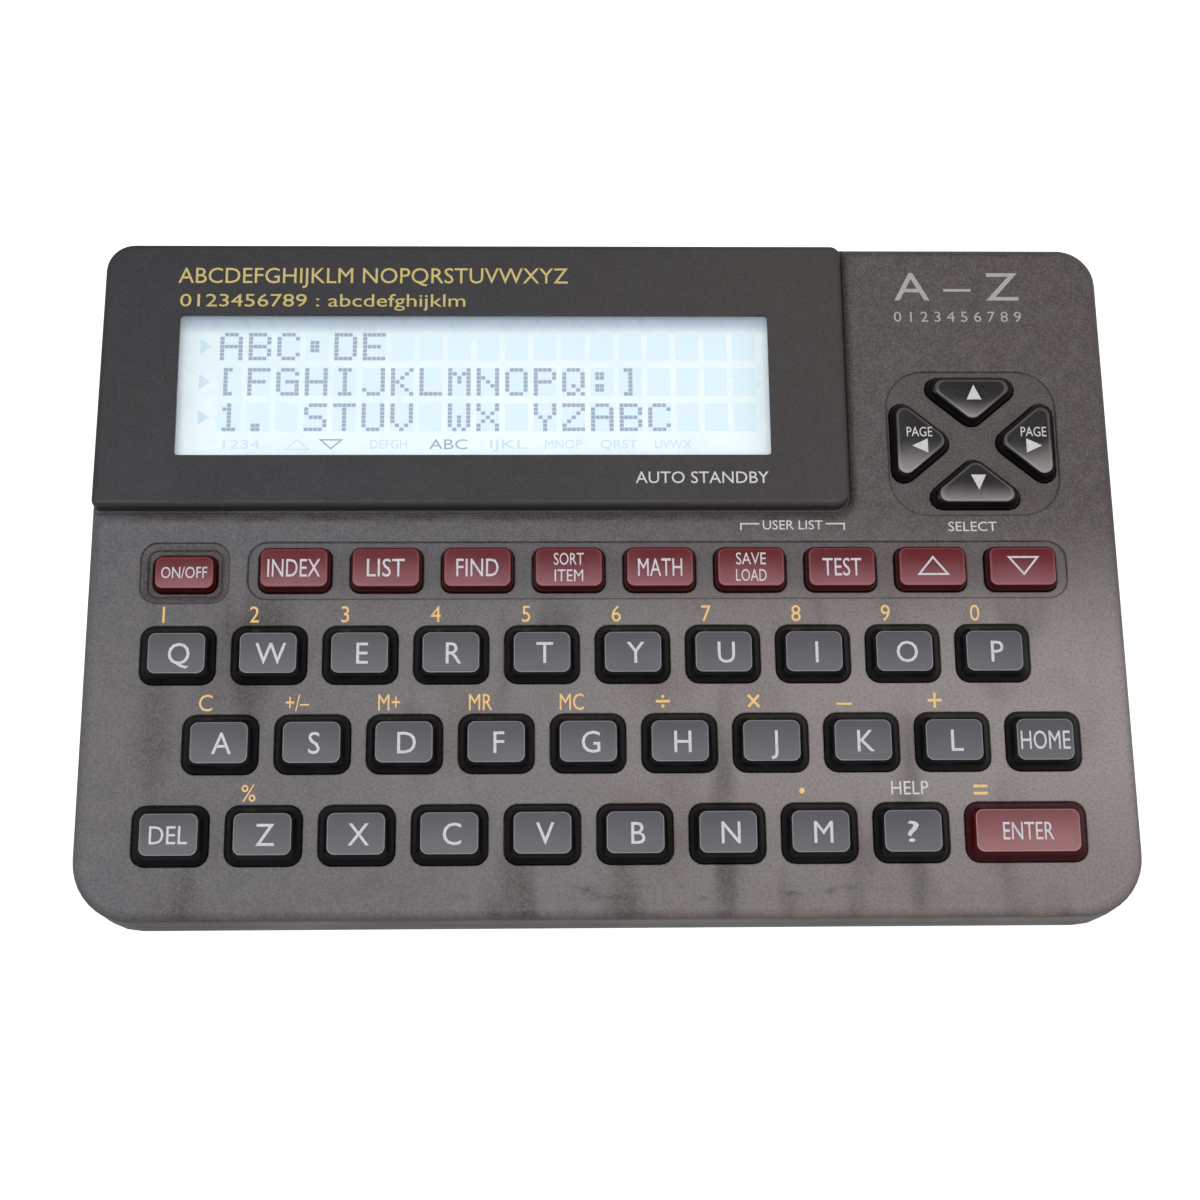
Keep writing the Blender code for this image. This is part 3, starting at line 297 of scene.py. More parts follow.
@dataclass(frozen=True)
class HousingPlastic:
    """Grained moulded plastic that handling has polished and dusted, with painted light and shade in its
    colour.
    """

    name: str
    cool: Colour
    warm: Colour
    light: Colour
    deep: Colour
    # The colour of the front edge line, partly wear and partly painted highlight.
    worn: Colour = tone(158, 136, 120)
    roughness: float = 0.48
    grain: float = 0.010 * MM
    # Strength of the stains, streaks and scuffs, and of the painted shade in the recesses.
    smudges_and_shade: float = 0.0
    wear_and_highlight: float = 0.0
    dust: float = 0.05

    def make(self) -> bpy.types.Material:
        """Build the material.

        Returns:
            The material.
        """
        s = Surface(self.name)
        x, y, z = s.axes
        # Partly painted light: the tone drifts from cool on the left to warm on the right, as the left and
        # right lamps tint it, over the plastic's own uneven tone.
        drift = s.product(s.math("SUBTRACT", s.noise(22, 3), 0.5), 0.05)
        colour = s.blend(s.fade(s.math("ADD", x, drift), -0.045, 0.060), self.cool, self.warm)
        # Painted light: the keyboard field is painted lighter, most towards the right and less along the
        # front strip.
        keyboard = s.product(s.fade(y, 0.010, -0.016), s.fade(y, -0.024, -0.046, 1.0, 0.60))
        lit = s.product(keyboard, s.fade(x, -0.075, 0.070, 0.16, 1.0))
        colour = s.blend(lit, colour, self.light)
        colour = s.blend(s.fade(s.noise(420, 4), 0.35, 0.70, 0.0, 0.08), colour, self.light)
        colour = self._soil_and_shade(s, colour)
        # Painted shade: everything below the keyboard field, in the recesses and down the side walls, is
        # painted darker.
        colour = s.blend(s.fade(z, 11.9 * MM, 10.9 * MM, 0.0, 0.55), colour, self.deep)
        colour = s.blend(s.fade(s.noise(3800, 2), 0.36, 0.66, 0.0, 0.20), colour, self.light)
        colour = s.blend(s.fade(s.noise(3000, 2), 0.42, 0.70, 0.0, 0.28), colour, self.deep)
        # Partly wear and partly painted highlight: a broken beige line on the rolled front edge, towards the
        # right.
        edge = s.product(s.rounded_edge(), s.fade(s.noise(160, 4), 0.35, 0.80))
        corner = s.product(s.fade(y, -0.040, -0.045), s.fade(x, -0.010, 0.050))
        colour = s.blend(s.product(s.product(edge, corner), self.wear_and_highlight), colour, self.worn)
        dust = s.math("MAXIMUM", s.specks(260, 0.055 * MM, self.dust), s.specks(610, 0.04 * MM, self.dust))
        colour = s.blend(s.product(dust, 0.55), colour, tone(190, 185, 178))
        polish = s.fade(s.noise(60, 3), 0.35, 0.70, self.roughness + 0.05, self.roughness - 0.07)
        s.set(Base_Color=colour, Roughness=polish, Specular_IOR_Level=0.3)
        s.bump(s.math("ADD", s.noise(7000), s.product(s.noise(2600), 0.5)), self.grain)
        return s.material

    def _soil_and_shade(self, s: Surface, colour: bpy.types.NodeSocket) -> bpy.types.NodeSocket:
        """Add the marks of use and painted shade: shade on the recess and aperture walls and in the power
        key's bowl, brown stains and streaks between the keys, and scuffs along the front.

        Args:
            s: The surface that is built.
            colour: The colour so far.

        Returns:
            The soiled colour.
        """
        x, y, z = s.axes
        # Painted shade: a dark brown band on the walls of the recesses and key apertures just under the
        # field, broken up by noise.
        wall = s.product(s.fade(z, 11.99 * MM, 11.88 * MM), s.fade(z, 11.60 * MM, 11.68 * MM))
        inside = s.product(s.fade(y, -9.0 * MM, -8.0 * MM), s.fade(s.math("ABSOLUTE", x), 65 * MM, 63 * MM))
        shade_breakup = s.fade(s.noise(240, 3), 0.30, 0.65, 0.35, 1.0)
        wall_shade = s.product(s.product(wall, inside), s.product(shade_breakup, self.smudges_and_shade))
        colour = s.blend(wall_shade, colour, tone(60, 51, 46))
        # Painted shade: the power key's bowl is painted dark brown, deepest at its floor.
        bowl = s.product(s.fade(z, 11.95 * MM, 11.2 * MM, 0.0, 0.9), s.fade(x, -50.5 * MM, -51.5 * MM))
        colour = s.blend(s.product(bowl, s.product(inside, self.smudges_and_shade)), colour, tone(56, 48, 43))
        between = s.product(s.fade(s.math("ABSOLUTE", x), 67 * MM, 56 * MM), s.fade(z, 9 * MM, 11 * MM))
        keys_area = s.product(s.product(s.fade(y, 0.000, -0.008), between), self.smudges_and_shade)
        streaks = s.fade(s.noise(120, 3, (1.0, 0.28, 1.0)), 0.50, 0.72)
        colour = s.blend(s.product(streaks, keys_area), colour, self.deep)
        stains = s.fade(s.noise(75, 4), 0.50, 0.80, 0.0, 0.75)
        colour = s.blend(s.product(stains, keys_area), colour, tone(92, 80, 72))
        line = s.fade(s.math("ABSOLUTE", s.math("ADD", y, 43.5 * MM)), 1.3 * MM, 0.2 * MM)
        broken = s.fade(s.noise(520, 4, (0.35, 1.0, 1.0)), 0.48, 0.62)
        along = s.product(s.fade(x, -0.030, -0.005), s.fade(x, 0.040, 0.020))
        scuff = s.product(s.product(line, broken), s.product(along, between))
        scuff = s.product(scuff, self.smudges_and_shade)
        return s.blend(scuff, colour, tone(58, 54, 56))


@dataclass(frozen=True)
class KeyPlastic:
    """A dark glossy key with a satin top plate; painted light makes the plate lighter towards the user and
    edges it with a thin line.
    """

    name: str
    side: Colour
    plate_rear: Colour
    plate_front: Colour
    rim: Colour
    side_roughness: float = 0.22
    plate_roughness: float = 0.42
    rim_highlight_share: float = 0.5
    # Where the painted light on the plate runs from front to rear, as shares of the key's depth.
    grade: tuple[float, float] = (0.15, 0.85)

    def make(self) -> bpy.types.Material:
        """Build the material, which reads the masks that the key's own mesh carries."""
        s = Surface(self.name)
        names = ("plate", "rim", "rear")
        plate, rim, rear = (s.add("ShaderNodeAttribute", attribute_name=n).outputs["Fac"] for n in names)
        drift = s.product(s.math("SUBTRACT", s.noise(120, 2), 0.5), 0.3)
        # Painted reflection: the top plate is painted lighter towards the front and darker towards the rear.
        top = s.blend(s.fade(s.math("ADD", rear, drift), *self.grade), self.plate_front, self.plate_rear)
        fine = s.noise(9000, 2)
        top = s.blend(s.fade(fine, 0.35, 0.75, 0.0, 0.14), top, self.plate_front)
        top = s.blend(s.fade(s.noise(70, 3), 0.45, 0.75, 0.0, 0.30), top, self.plate_rear)
        colour = s.blend(s.fade(plate, 0.45, 0.55), self.side, top)
        # Painted highlight: a thin light line round the plate's edge, fading towards the rear.
        line = s.product(s.fade(rim, 0.35, 0.9), self.rim_highlight_share)
        line = s.product(line, s.fade(rear, 1.0, 0.72, 0.25, 1.0))
        colour = s.blend(line, colour, self.rim)
        colour = s.blend(s.product(s.specks(700, 0.05 * MM, 0.05), 0.5), colour, tone(205, 200, 195))
        gloss = s.fade(plate, 0.45, 0.55, self.side_roughness, self.plate_roughness)
        uneven = s.fade(s.noise(300, 3), 0.3, 0.8, -0.04, 0.06)
        s.set(Base_Color=colour, Roughness=s.math("ADD", gloss, uneven), Specular_IOR_Level=0.25)
        s.bump(s.product(fine, plate), 0.004 * MM)
        return s.material


@dataclass(frozen=True)
class Ink:
    """Screen-printed ink, slightly uneven and worn thin in places, with a painted glow on the display's
    marks.
    """

    name: str
    colour: Colour
    worn: Colour
    glow: float = 0.0

    def make(self) -> bpy.types.Material:
        """Build the material.

        Returns:
            The material.
        """
        s = Surface(self.name)
        # Painted light: the ink glows in its own colour, which lifts the display's marks though the display
        # has no lamp.
        s.set(Emission_Color=self.colour, Emission_Strength=self.glow)
        patchy = s.fade(s.noise(1800, 3), 0.42, 0.78, 0.0, 0.45)
        s.set(Base_Color=s.blend(patchy, self.colour, self.worn))
        s.set(Roughness=s.fade(s.noise(900), 0.3, 0.7, 0.4, 0.6))
        s.bump(s.noise(6000), 0.003 * MM)
        return s.material


@dataclass(frozen=True)
class ClearPane:
    """A clear plastic pane with a faint cool haze."""

    name: str
    haze: float

    def make(self) -> bpy.types.Material:
        """Build the material.

        Returns:
            The material.
        """
        s = Surface(self.name)
        colour = s.blend(s.noise(90, 2), tone(222, 236, 244), tone(236, 242, 244))
        s.set(Base_Color=colour, Roughness=s.fade(s.noise(400, 3), 0.3, 0.8, 0.05, 0.14), Alpha=self.haze)
        return s.material


@dataclass(frozen=True)
class DisplayGlass:
    """The pale reflector of a liquid crystal display, with painted shadow at the window's rear edge and a
    painted glow.
    """

    name: str
    pale: Colour
    shade: Colour

    def make(self, rear: float) -> bpy.types.Material:
        """Build the material.

        Args:
            rear: Y of the window's rear edge.

        Returns:
            The material.
        """
        s = Surface(self.name)
        x, y, _ = s.axes
        colour = s.blend(s.fade(x, -0.060, 0.020, 0.25, 0.0), self.pale, tone(206, 232, 240))
        # Painted shadow: a blue-grey band under the window's rear edge.
        colour = s.blend(s.fade(y, rear - 2.4 * MM, rear - 0.4 * MM, 0.0, 0.85), colour, self.shade)
        colour = s.blend(s.fade(s.noise(150, 3), 0.35, 0.75, 0.0, 0.12), colour, self.shade)
        s.set(Base_Color=colour, Roughness=s.fade(s.noise(500), 0.3, 0.7, 0.25, 0.35))
        # Painted light: the reflector glows in its pale colour, though the display has no lamp.
        s.set(Emission_Color=self.pale, Emission_Strength=0.17)
        return s.material


@dataclass(frozen=True)
class Metal:
    """Plated or stamped metal with fine turning or rolling marks."""

    name: str
    bright: Colour
    dull: Colour
    roughness: float
    grain: tuple[float, float, float] = (1.0, 1.0, 1.0)

    def make(self) -> bpy.types.Material:
        """Build the material.

        Returns:
            The material.
        """
        s = Surface(self.name)
        marks = s.noise(2400, 3, self.grain)
        s.set(Base_Color=s.blend(s.fade(s.noise(180, 4), 0.35, 0.75), self.bright, self.dull), Metallic=1.0)
        s.set(Roughness=s.fade(marks, 0.3, 0.7, self.roughness - 0.06, self.roughness + 0.10))
        s.bump(marks, 0.002 * MM)
        return s.material


@dataclass(frozen=True)
class Rubber:
    """Matt silicone rubber with a faint bloom."""

    name: str
    colour: Colour
    bloom: Colour

    def make(self) -> bpy.types.Material:
        """Build the material.

        Returns:
            The material.
        """
        s = Surface(self.name)
        s.set(Base_Color=s.blend(s.fade(s.noise(260, 4), 0.4, 0.75, 0.0, 0.5), self.colour, self.bloom))
        s.set(Roughness=s.fade(s.noise(700), 0.3, 0.7, 0.68, 0.82))
        s.bump(s.noise(5200, 2), 0.006 * MM)
        return s.material


@dataclass(frozen=True)
class CircuitBoard:
    """Glass-fibre board under a green mask, with copper tracks showing faintly through it."""

    name: str
    mask: Colour
    track: Colour

    def make(self) -> bpy.types.Material:
        """Build the material.

        Returns:
            The material.
        """
        s = Surface(self.name)
        lanes = s.add("ShaderNodeTexBrick", {"Vector": s.place, "Scale": 380.0, "Mortar Size": 0.035})
        lanes.inputs["Color1"].default_value = lanes.inputs["Color2"].default_value = (0.0, 0.0, 0.0, 1.0)
        lanes.inputs["Mortar"].default_value = (1.0, 1.0, 1.0, 1.0)
        weave = s.fade(s.noise(3000, 2), 0.35, 0.7, 0.0, 0.2)
        s.set(Base_Color=s.blend(weave, s.blend(lanes.outputs["Color"], self.mask, self.track), self.track))
        s.set(Roughness=s.fade(s.noise(600), 0.3, 0.7, 0.3, 0.45))
        s.bump(lanes.outputs["Color"], 0.02 * MM)
        return s.material


class Tone(Enum):
    """The inks and dyes of printed and displayed marks."""

    WHITE = Ink("ink_white", tone(212, 210, 214), tone(170, 168, 172))
    GREY = Ink("ink_grey", tone(176, 172, 171), tone(150, 146, 145))
    PALE = Ink("ink_pale", tone(216, 213, 215), tone(176, 173, 175))
    GOLD = Ink("ink_amber", tone(246, 200, 126), tone(216, 170, 106))
    TITLE = Ink("ink_gold", tone(210, 190, 118), tone(176, 158, 96))
    # The display's three inks glow as painted light; the last number is the glow.
    LIT = Ink("dots_dark", tone(156, 170, 194), tone(170, 184, 206), 0.12)
    UNLIT = Ink("dots_faint", tone(221, 241, 250), tone(230, 246, 251), 0.16)
    ICON = Ink("signs_faint", tone(204, 228, 241), tone(218, 238, 246), 0.14)

    def material(self) -> bpy.types.Material:
        """The ink's material, made once."""
        return bpy.data.materials.get(self.value.name) or self.value.make()


def rectangle(left: float, right: float, front: float, rear: float) -> Outline:
    """Corners counter-clockwise from the front left."""
    return [Vector((left, front)), Vector((right, front)), Vector((right, rear)), Vector((left, rear))]


def inset(corners: Outline, distance: float) -> Outline:
    """The outline with each side moved inwards by the distance; a negative distance moves it out.

    Args:
        corners: The sharp outline, counter-clockwise.
        distance: How far each side moves.

    Returns:
        The moved corners.
    """
    moved = []
    for index, here in enumerate(corners):
        before = (here - corners[index - 1]).normalized()
        after = (corners[(index + 1) % len(corners)] - here).normalized()
        normals = Vector((-before.y, before.x)), Vector((-after.y, after.x))
        moved.append(here + (normals[0] + normals[1]) / (1 + normals[0].dot(normals[1])) * distance)
    return moved


def rounded(corners: Outline, radii: list[float] | float, steps: int = ROUND_STEPS) -> Outline:
    """The outline with each corner turned into a tangent arc.

    Args:
        corners: The sharp outline, counter-clockwise.
        radii: One radius, or one for each corner.
        steps: Straight pieces in each arc.

    Returns:
        The points of the rounded outline.
    """
    points = []
    for index, here in enumerate(corners):
        radius = radii[index] if isinstance(radii, list) else radii
        back = (corners[index - 1] - here).normalized()
        ahead = (corners[(index + 1) % len(corners)] - here).normalized()
        half = math.acos(max(-1.0, min(1.0, back.dot(ahead)))) / 2
        centre = here + (back + ahead).normalized() * (radius / math.sin(half))
        start = here + back * (radius / math.tan(half)) - centre
        end = here + ahead * (radius / math.tan(half)) - centre
        turn = math.atan2(start.x * end.y - start.y * end.x, start.dot(end))
        points += [centre + Matrix.Rotation(turn * step / steps, 2) @ start for step in range(steps + 1)]
    return points


def add_loft(mesh: bmesh.types.BMesh, sections: list[Section]) -> None:
    """Add one closed solid through sections of equal point count.

    Args:
        mesh: The mesh that takes it.
        sections: Outline and height of each section, from below.
    """
    rings = [[mesh.verts.new((p.x, p.y, height)) for p in points] for points, height in sections]
    count = len(rings[0])
    for lower, upper in zip(rings, rings[1:]):
        for index in range(count):
            after = (index + 1) % count
            mesh.faces.new((lower[index], lower[after], upper[after], upper[index]))
    mesh.faces.new(reversed(rings[0]))
    mesh.faces.new(rings[-1])


def mesh_object(name: str, data: bpy.types.Mesh) -> bpy.types.Object:
    """Put a mesh in the scene as a new object at the origin.

    Args:
        name: The object's name.
        data: Its mesh.

    Returns:
        The new object.
    """
    made = bpy.data.objects.new(name, data)
    bpy.context.scene.collection.objects.link(made)
    return made


def from_bmesh(name: str, mesh: bmesh.types.BMesh) -> bpy.types.Object:
    """Turn a bmesh into a new object and free it.

    Args:
        name: The object's name.
        mesh: Its mesh, which is freed.

    Returns:
        The new object.
    """
    data = bpy.data.meshes.new(name)
    mesh.to_mesh(data)
    mesh.free()
    return mesh_object(name, data)


def lofts(name: str, stacks: list[list[Section]]) -> bpy.types.Object:
    """One object that holds a separate solid for each stack of sections.

    Args:
        name: The object's name.
        stacks: The sections of each solid, from below.

    Returns:
        The new object.
    """
    mesh = bmesh.new()
    for sections in stacks:
        add_loft(mesh, sections)
    return from_bmesh(name, mesh)


def evaluated_mesh(thing: bpy.types.Object, name: str) -> bpy.types.Mesh:
    """The object's mesh as its modifiers leave it, under a new name.

    Args:
        thing: The object.
        name: The new mesh's name.

    Returns:
        The new mesh.
    """
    bpy.context.view_layer.update()
    data = bpy.data.meshes.new_from_object(thing.evaluated_get(bpy.context.evaluated_depsgraph_get()))
    data.name = name
    return data


def carve(target: bpy.types.Object, *cutters: bpy.types.Object) -> None:
    """Cut each object from the target, then remove the cutters.

    Args:
        target: The object that is cut.
        cutters: The objects that are cut from it.
    """
    for cutter in cutters:
        step = target.modifiers.new(cutter.name, "BOOLEAN")
        step.object = cutter
        step.solver = "EXACT"
    data = evaluated_mesh(target, target.name)
    target.modifiers.clear()
    target.data = data
    for cutter in cutters:
        bpy.data.objects.remove(cutter)


def soften(thing: bpy.types.Object, sharp: float = SHARP) -> None:
    """Merge doubles and shade smooth, with flat faces kept flat by weighted normals.

    Args:
        thing: The object.
        sharp: Angle from which an edge stays sharp.
    """
    mesh = bmesh.new()
    mesh.from_mesh(thing.data)
    bmesh.ops.remove_doubles(mesh, verts=mesh.verts, dist=MERGE)
    bmesh.ops.dissolve_degenerate(mesh, edges=mesh.edges, dist=MERGE)
    mesh.to_mesh(thing.data)
    mesh.free()
    thing.data.shade_smooth()
    thing.data.set_sharp_from_angle(angle=sharp)
    weigh = thing.modifiers.new("weighted_normals", "WEIGHTED_NORMAL")
    weigh.keep_sharp = True
    weigh.weight = 100


def dress(thing: bpy.types.Object, body: str, material: bpy.types.Material) -> None:
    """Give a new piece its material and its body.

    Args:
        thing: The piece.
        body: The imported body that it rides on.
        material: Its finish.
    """
    thing.data.materials.clear()
    thing.data.materials.append(material)
    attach(thing, body)


def mouth(shape: Callable[[float], Outline], surface: float, lip: float) -> list[Section]:
    """Upper sections of a cutter whose mouth rolls out into the surface.

    Args:
        shape: Gives the outline grown by a distance.
        surface: Height of the surface that the hole opens in.
        lip: Radius of the roll.

    Returns:
        Sections from the foot of the roll to clear above the surface.
    """
    made = []
    for step in range(LIP_STEPS + 1):
        angle = LIP_TURN * step / LIP_STEPS
        made.append((shape(lip * (1 - math.cos(angle))), surface - lip + lip * math.sin(angle)))
    spread = lip * (1 - math.cos(LIP_TURN)) + lip / 4
    made.append((shape(spread), made[-1][1] + lip / 4 / math.tan(LIP_TURN)))
    made.append((made[-1][0], surface + OVERRUN))
    return made


@dataclass
class KeyKind:
    """How one kind of key rises from the housing, and how its aperture opens round it."""

    finish: KeyPlastic
    slot: str
    taper: float
    edge: float
    surround: float = 0.0
    radii: float | tuple[float, ...] = 1.3 * MM
    crown_radii: float | tuple[float, ...] = 0.9 * MM
    pillow: float = 0.0
    trim: float = 0.05 * MM
    lip: float = 0.16 * MM


@dataclass
class Key:
    """One key: its node, its kind and its outline where it stands."""

    node: str
    kind: KeyKind
    corners: Outline

    def grown(self, distance: float) -> Outline:
        """The rounded outline of the cap at its base, grown by a distance.

        Args:
            distance: How far it grows.

        Returns:
            The outline.
        """
        radii = self.kind.radii
        radii = [r + distance for r in radii] if isinstance(radii, tuple) else radii + distance
        return rounded(inset(self.corners, -distance), radii, 5)

    def aperture(self, bottom: float, field: float, clearance: float) -> list[Section]:
        """The cutter of the key's hole in the housing, whose mouth rolls out.

        Args:
            bottom: Height of the cutter's foot.
            field: Height of the keyboard field.
            clearance: Gap round the cap.

        Returns:
            The cutter's sections from below.
        """
        top = field - self.kind.surround
        sections = [(self.grown(clearance), bottom)]
        return sections + mouth(lambda spread: self.grown(clearance + spread), top, self.kind.lip)


class GeometryTree(TreeBuilder):
    """A Geometry Nodes tree with named inputs that ends in Realize Instances and Set Material."""

    def __init__(self, name: str, inputs: dict[str, str]) -> None:
        """Make the tree with its sockets.

        Args:
            name: The tree's name.
            inputs: Socket type of each named input besides the geometry and the finish.
        """
        self.group = bpy.data.node_groups.new(name, "GeometryNodeTree")
        super().__init__(self.group)
        face = self.group.interface
        face.new_socket("Geometry", in_out="INPUT", socket_type="NodeSocketGeometry")
        self.sockets = {}
        for label, kind in {**inputs, "Finish": "NodeSocketMaterial"}.items():
            self.sockets[label] = face.new_socket(label, in_out="INPUT", socket_type=kind).identifier
        face.new_socket("Geometry", in_out="OUTPUT", socket_type="NodeSocketGeometry")
        self.given = self.add("NodeGroupInput").outputs

    def close(self, solid: bpy.types.NodeSocket) -> None:
        """End the tree with this geometry, made real and given its finish.

        Args:
            solid: The geometry.
        """
        real = self.add("GeometryNodeRealizeInstances", {"Geometry": solid})
        dressed = self.add("GeometryNodeSetMaterial", {"Geometry": real, "Material": self.given["Finish"]})
        self.add("NodeGroupOutput", {"Geometry": dressed})

    def repeat(self, piece: bpy.types.NodeSocket) -> None:
        """End the tree with the piece at each point of the given geometry."""
        laid = {"Points": self.given["Geometry"], "Instance": piece}
        self.close(self.add("GeometryNodeInstanceOnPoints", laid).outputs[0])

    def bake(self, carrier: bpy.types.Object, name: str, inputs: dict[str, object]) -> bpy.types.Object:
        """Run the tree on a carrier, which is removed, and keep the result as a plain piece.

        Args:
            carrier: The object whose geometry the tree is given.
            name: The new piece's name.
            inputs: Value of each named input.

        Returns:
            The new piece.
        """
        step = carrier.modifiers.new(self.group.name, "NODES")
        step.node_group = self.group
        for label, value in inputs.items():
            step[self.sockets[label]] = value
        piece = mesh_object(name, evaluated_mesh(carrier, name))
        bpy.data.objects.remove(carrier)
        return piece


class KeyTree(GeometryTree):
    """Geometry Nodes tree that lofts a key between two outlines along a profile.

    The modified object holds the base outline and the crown outline as two closed splines, whose point
    radius is the corner radius. The profile is a polyline: X is the blend from base to crown, Y the scale
    towards the key's middle and Z the height. Its point radius marks the painted highlight round the plate
    and its tilt the top plate.
    """

    def __init__(self) -> None:
        """Build the tree with its named inputs."""
        super().__init__("tapered_key", {"Profile": "NodeSocketObject", "Corner Steps": "NodeSocketInt"})
        given = self.given
        outlines = self.add(
            "GeometryNodeFilletCurve",
            {
                "Curve": given["Geometry"],
                "Count": given["Corner Steps"],
                "Radius": self.add("GeometryNodeInputRadius"),
                "Limit Radius": True,
            },
            mode="POLY",
        )
        profile = self.add("GeometryNodeObjectInfo", {"Object": given["Profile"]}).outputs["Geometry"]
        around = self.math("DIVIDE", self._points(outlines.outputs[0]), 2.0)
        rings = self._points(profile)
        columns = self.math("ADD", around, 1.0)
        grid = self.add("GeometryNodeMeshGrid", {"Vertices X": rings, "Vertices Y": columns})
        index = self.add("GeometryNodeInputIndex").outputs[0]
        ring = self.math("FLOOR", self.math("DIVIDE", self.math("ADD", index, 0.5), columns))
        column = self.math("SUBTRACT", index, self.product(ring, columns))
        turn = self.math("FLOORED_MODULO", column, around)
        position = self.add("GeometryNodeInputPosition").outputs[0]
        base = self._sample(outlines.outputs[0], position, turn, "FLOAT_VECTOR")
        crown = self._sample(outlines.outputs[0], position, self.math("ADD", turn, around), "FLOAT_VECTOR")
        guide = self.split(self._sample(profile, position, ring, "FLOAT_VECTOR"))
        mixed = self.add(
            "ShaderNodeMix", {0: guide[0], 4: base, 5: crown}, data_type="VECTOR", clamp_factor=False
        )
        scaling = {0: mixed.outputs[1], "Scale": guide[1]}
        parts = self.split(self.add("ShaderNodeVectorMath", scaling, operation="SCALE"))
        place = self.add("ShaderNodeCombineXYZ", {0: parts[0], 1: parts[1], 2: guide[2]})
        moved = {"Geometry": grid.outputs[0], "Position": place}
        solid = self.add("GeometryNodeSetPosition", moved).outputs[0]
        for name, source in (("rim", "GeometryNodeInputRadius"), ("plate", "GeometryNodeInputCurveTilt")):
            value = self._sample(profile, self.add(source).outputs[0], ring, "FLOAT")
            solid = self._mark(solid, name, value)
        limits = self.add("GeometryNodeBoundBox", {"Geometry": solid}).outputs
        low, high = self.split(limits["Min"])[1], self.split(limits["Max"])[1]
        depth = self.split(self.add("GeometryNodeInputPosition"))[1]
        rear = self.add("ShaderNodeMapRange", {0: depth, 1: low, 2: high}).outputs[0]
        solid = self._mark(solid, "rear", rear)
        solid = self.add("GeometryNodeMergeByDistance", {"Geometry": solid, "Distance": MERGE}).outputs[0]
        self.close(solid)

    def _points(self, curve: bpy.types.NodeSocket) -> bpy.types.NodeSocket:
        """The number of points of a curve."""
        size = self.add("GeometryNodeAttributeDomainSize", {"Geometry": curve}, component="CURVE")
        return size.outputs["Point Count"]

    def _sample(
        self, curve: bpy.types.NodeSocket, value: bpy.types.NodeSocket, index: object, kind: str
    ) -> bpy.types.NodeSocket:
        """A point value of a curve, read at an index.

        Args:
            curve: The curve.
            value: What is read at its points.
            index: Which point is read.
            kind: Blender's data type of the value.

        Returns:
            The value there.
        """
        inputs = {"Geometry": curve, "Index": index}
        node = self.add("GeometryNodeSampleIndex", inputs, data_type=kind, domain="POINT")
        self.tree.links.new(value, node.inputs["Value"])
        return node.outputs["Value"]

    def _mark(self, solid: bpy.types.NodeSocket, name: str, value: object) -> bpy.types.NodeSocket:
        """Store a value on the points under a name that the finish reads.

        Args:
            solid: The geometry.
            name: The attribute's name.
            value: Its value.

        Returns:
            The geometry with it.
        """
        inputs = {"Geometry": solid, "Name": name, "Value": value}
        stored = self.add("GeometryNodeStoreNamedAttribute", inputs, data_type="FLOAT", domain="POINT")
        return stored.outputs[0]


def poly_curve(
    name: str, lines: list[list[Vector]], radii: list[list[float]], closed: bool
) -> bpy.types.Object:
    """A curve object of straight splines with a radius at each point.

    Args:
        name: The object's name.
        lines: Points of each spline.
        radii: Point radii of each spline.
        closed: Whether the splines close.

    Returns:
        The curve object.
    """
    curve = bpy.data.curves.new(name, "CURVE")
    curve.dimensions = "3D"
    for line, widths in zip(lines, radii):
        spline = curve.splines.new("POLY")
        spline.points.add(len(line) - 1)
        spline.use_cyclic_u = closed
        for point, place, width in zip(spline.points, line, widths):
            point.co = (*place.to_3d(), 1.0)
            point.radius = width
    made = bpy.data.objects.new(name, curve)
    bpy.context.scene.collection.objects.link(made)
    return made


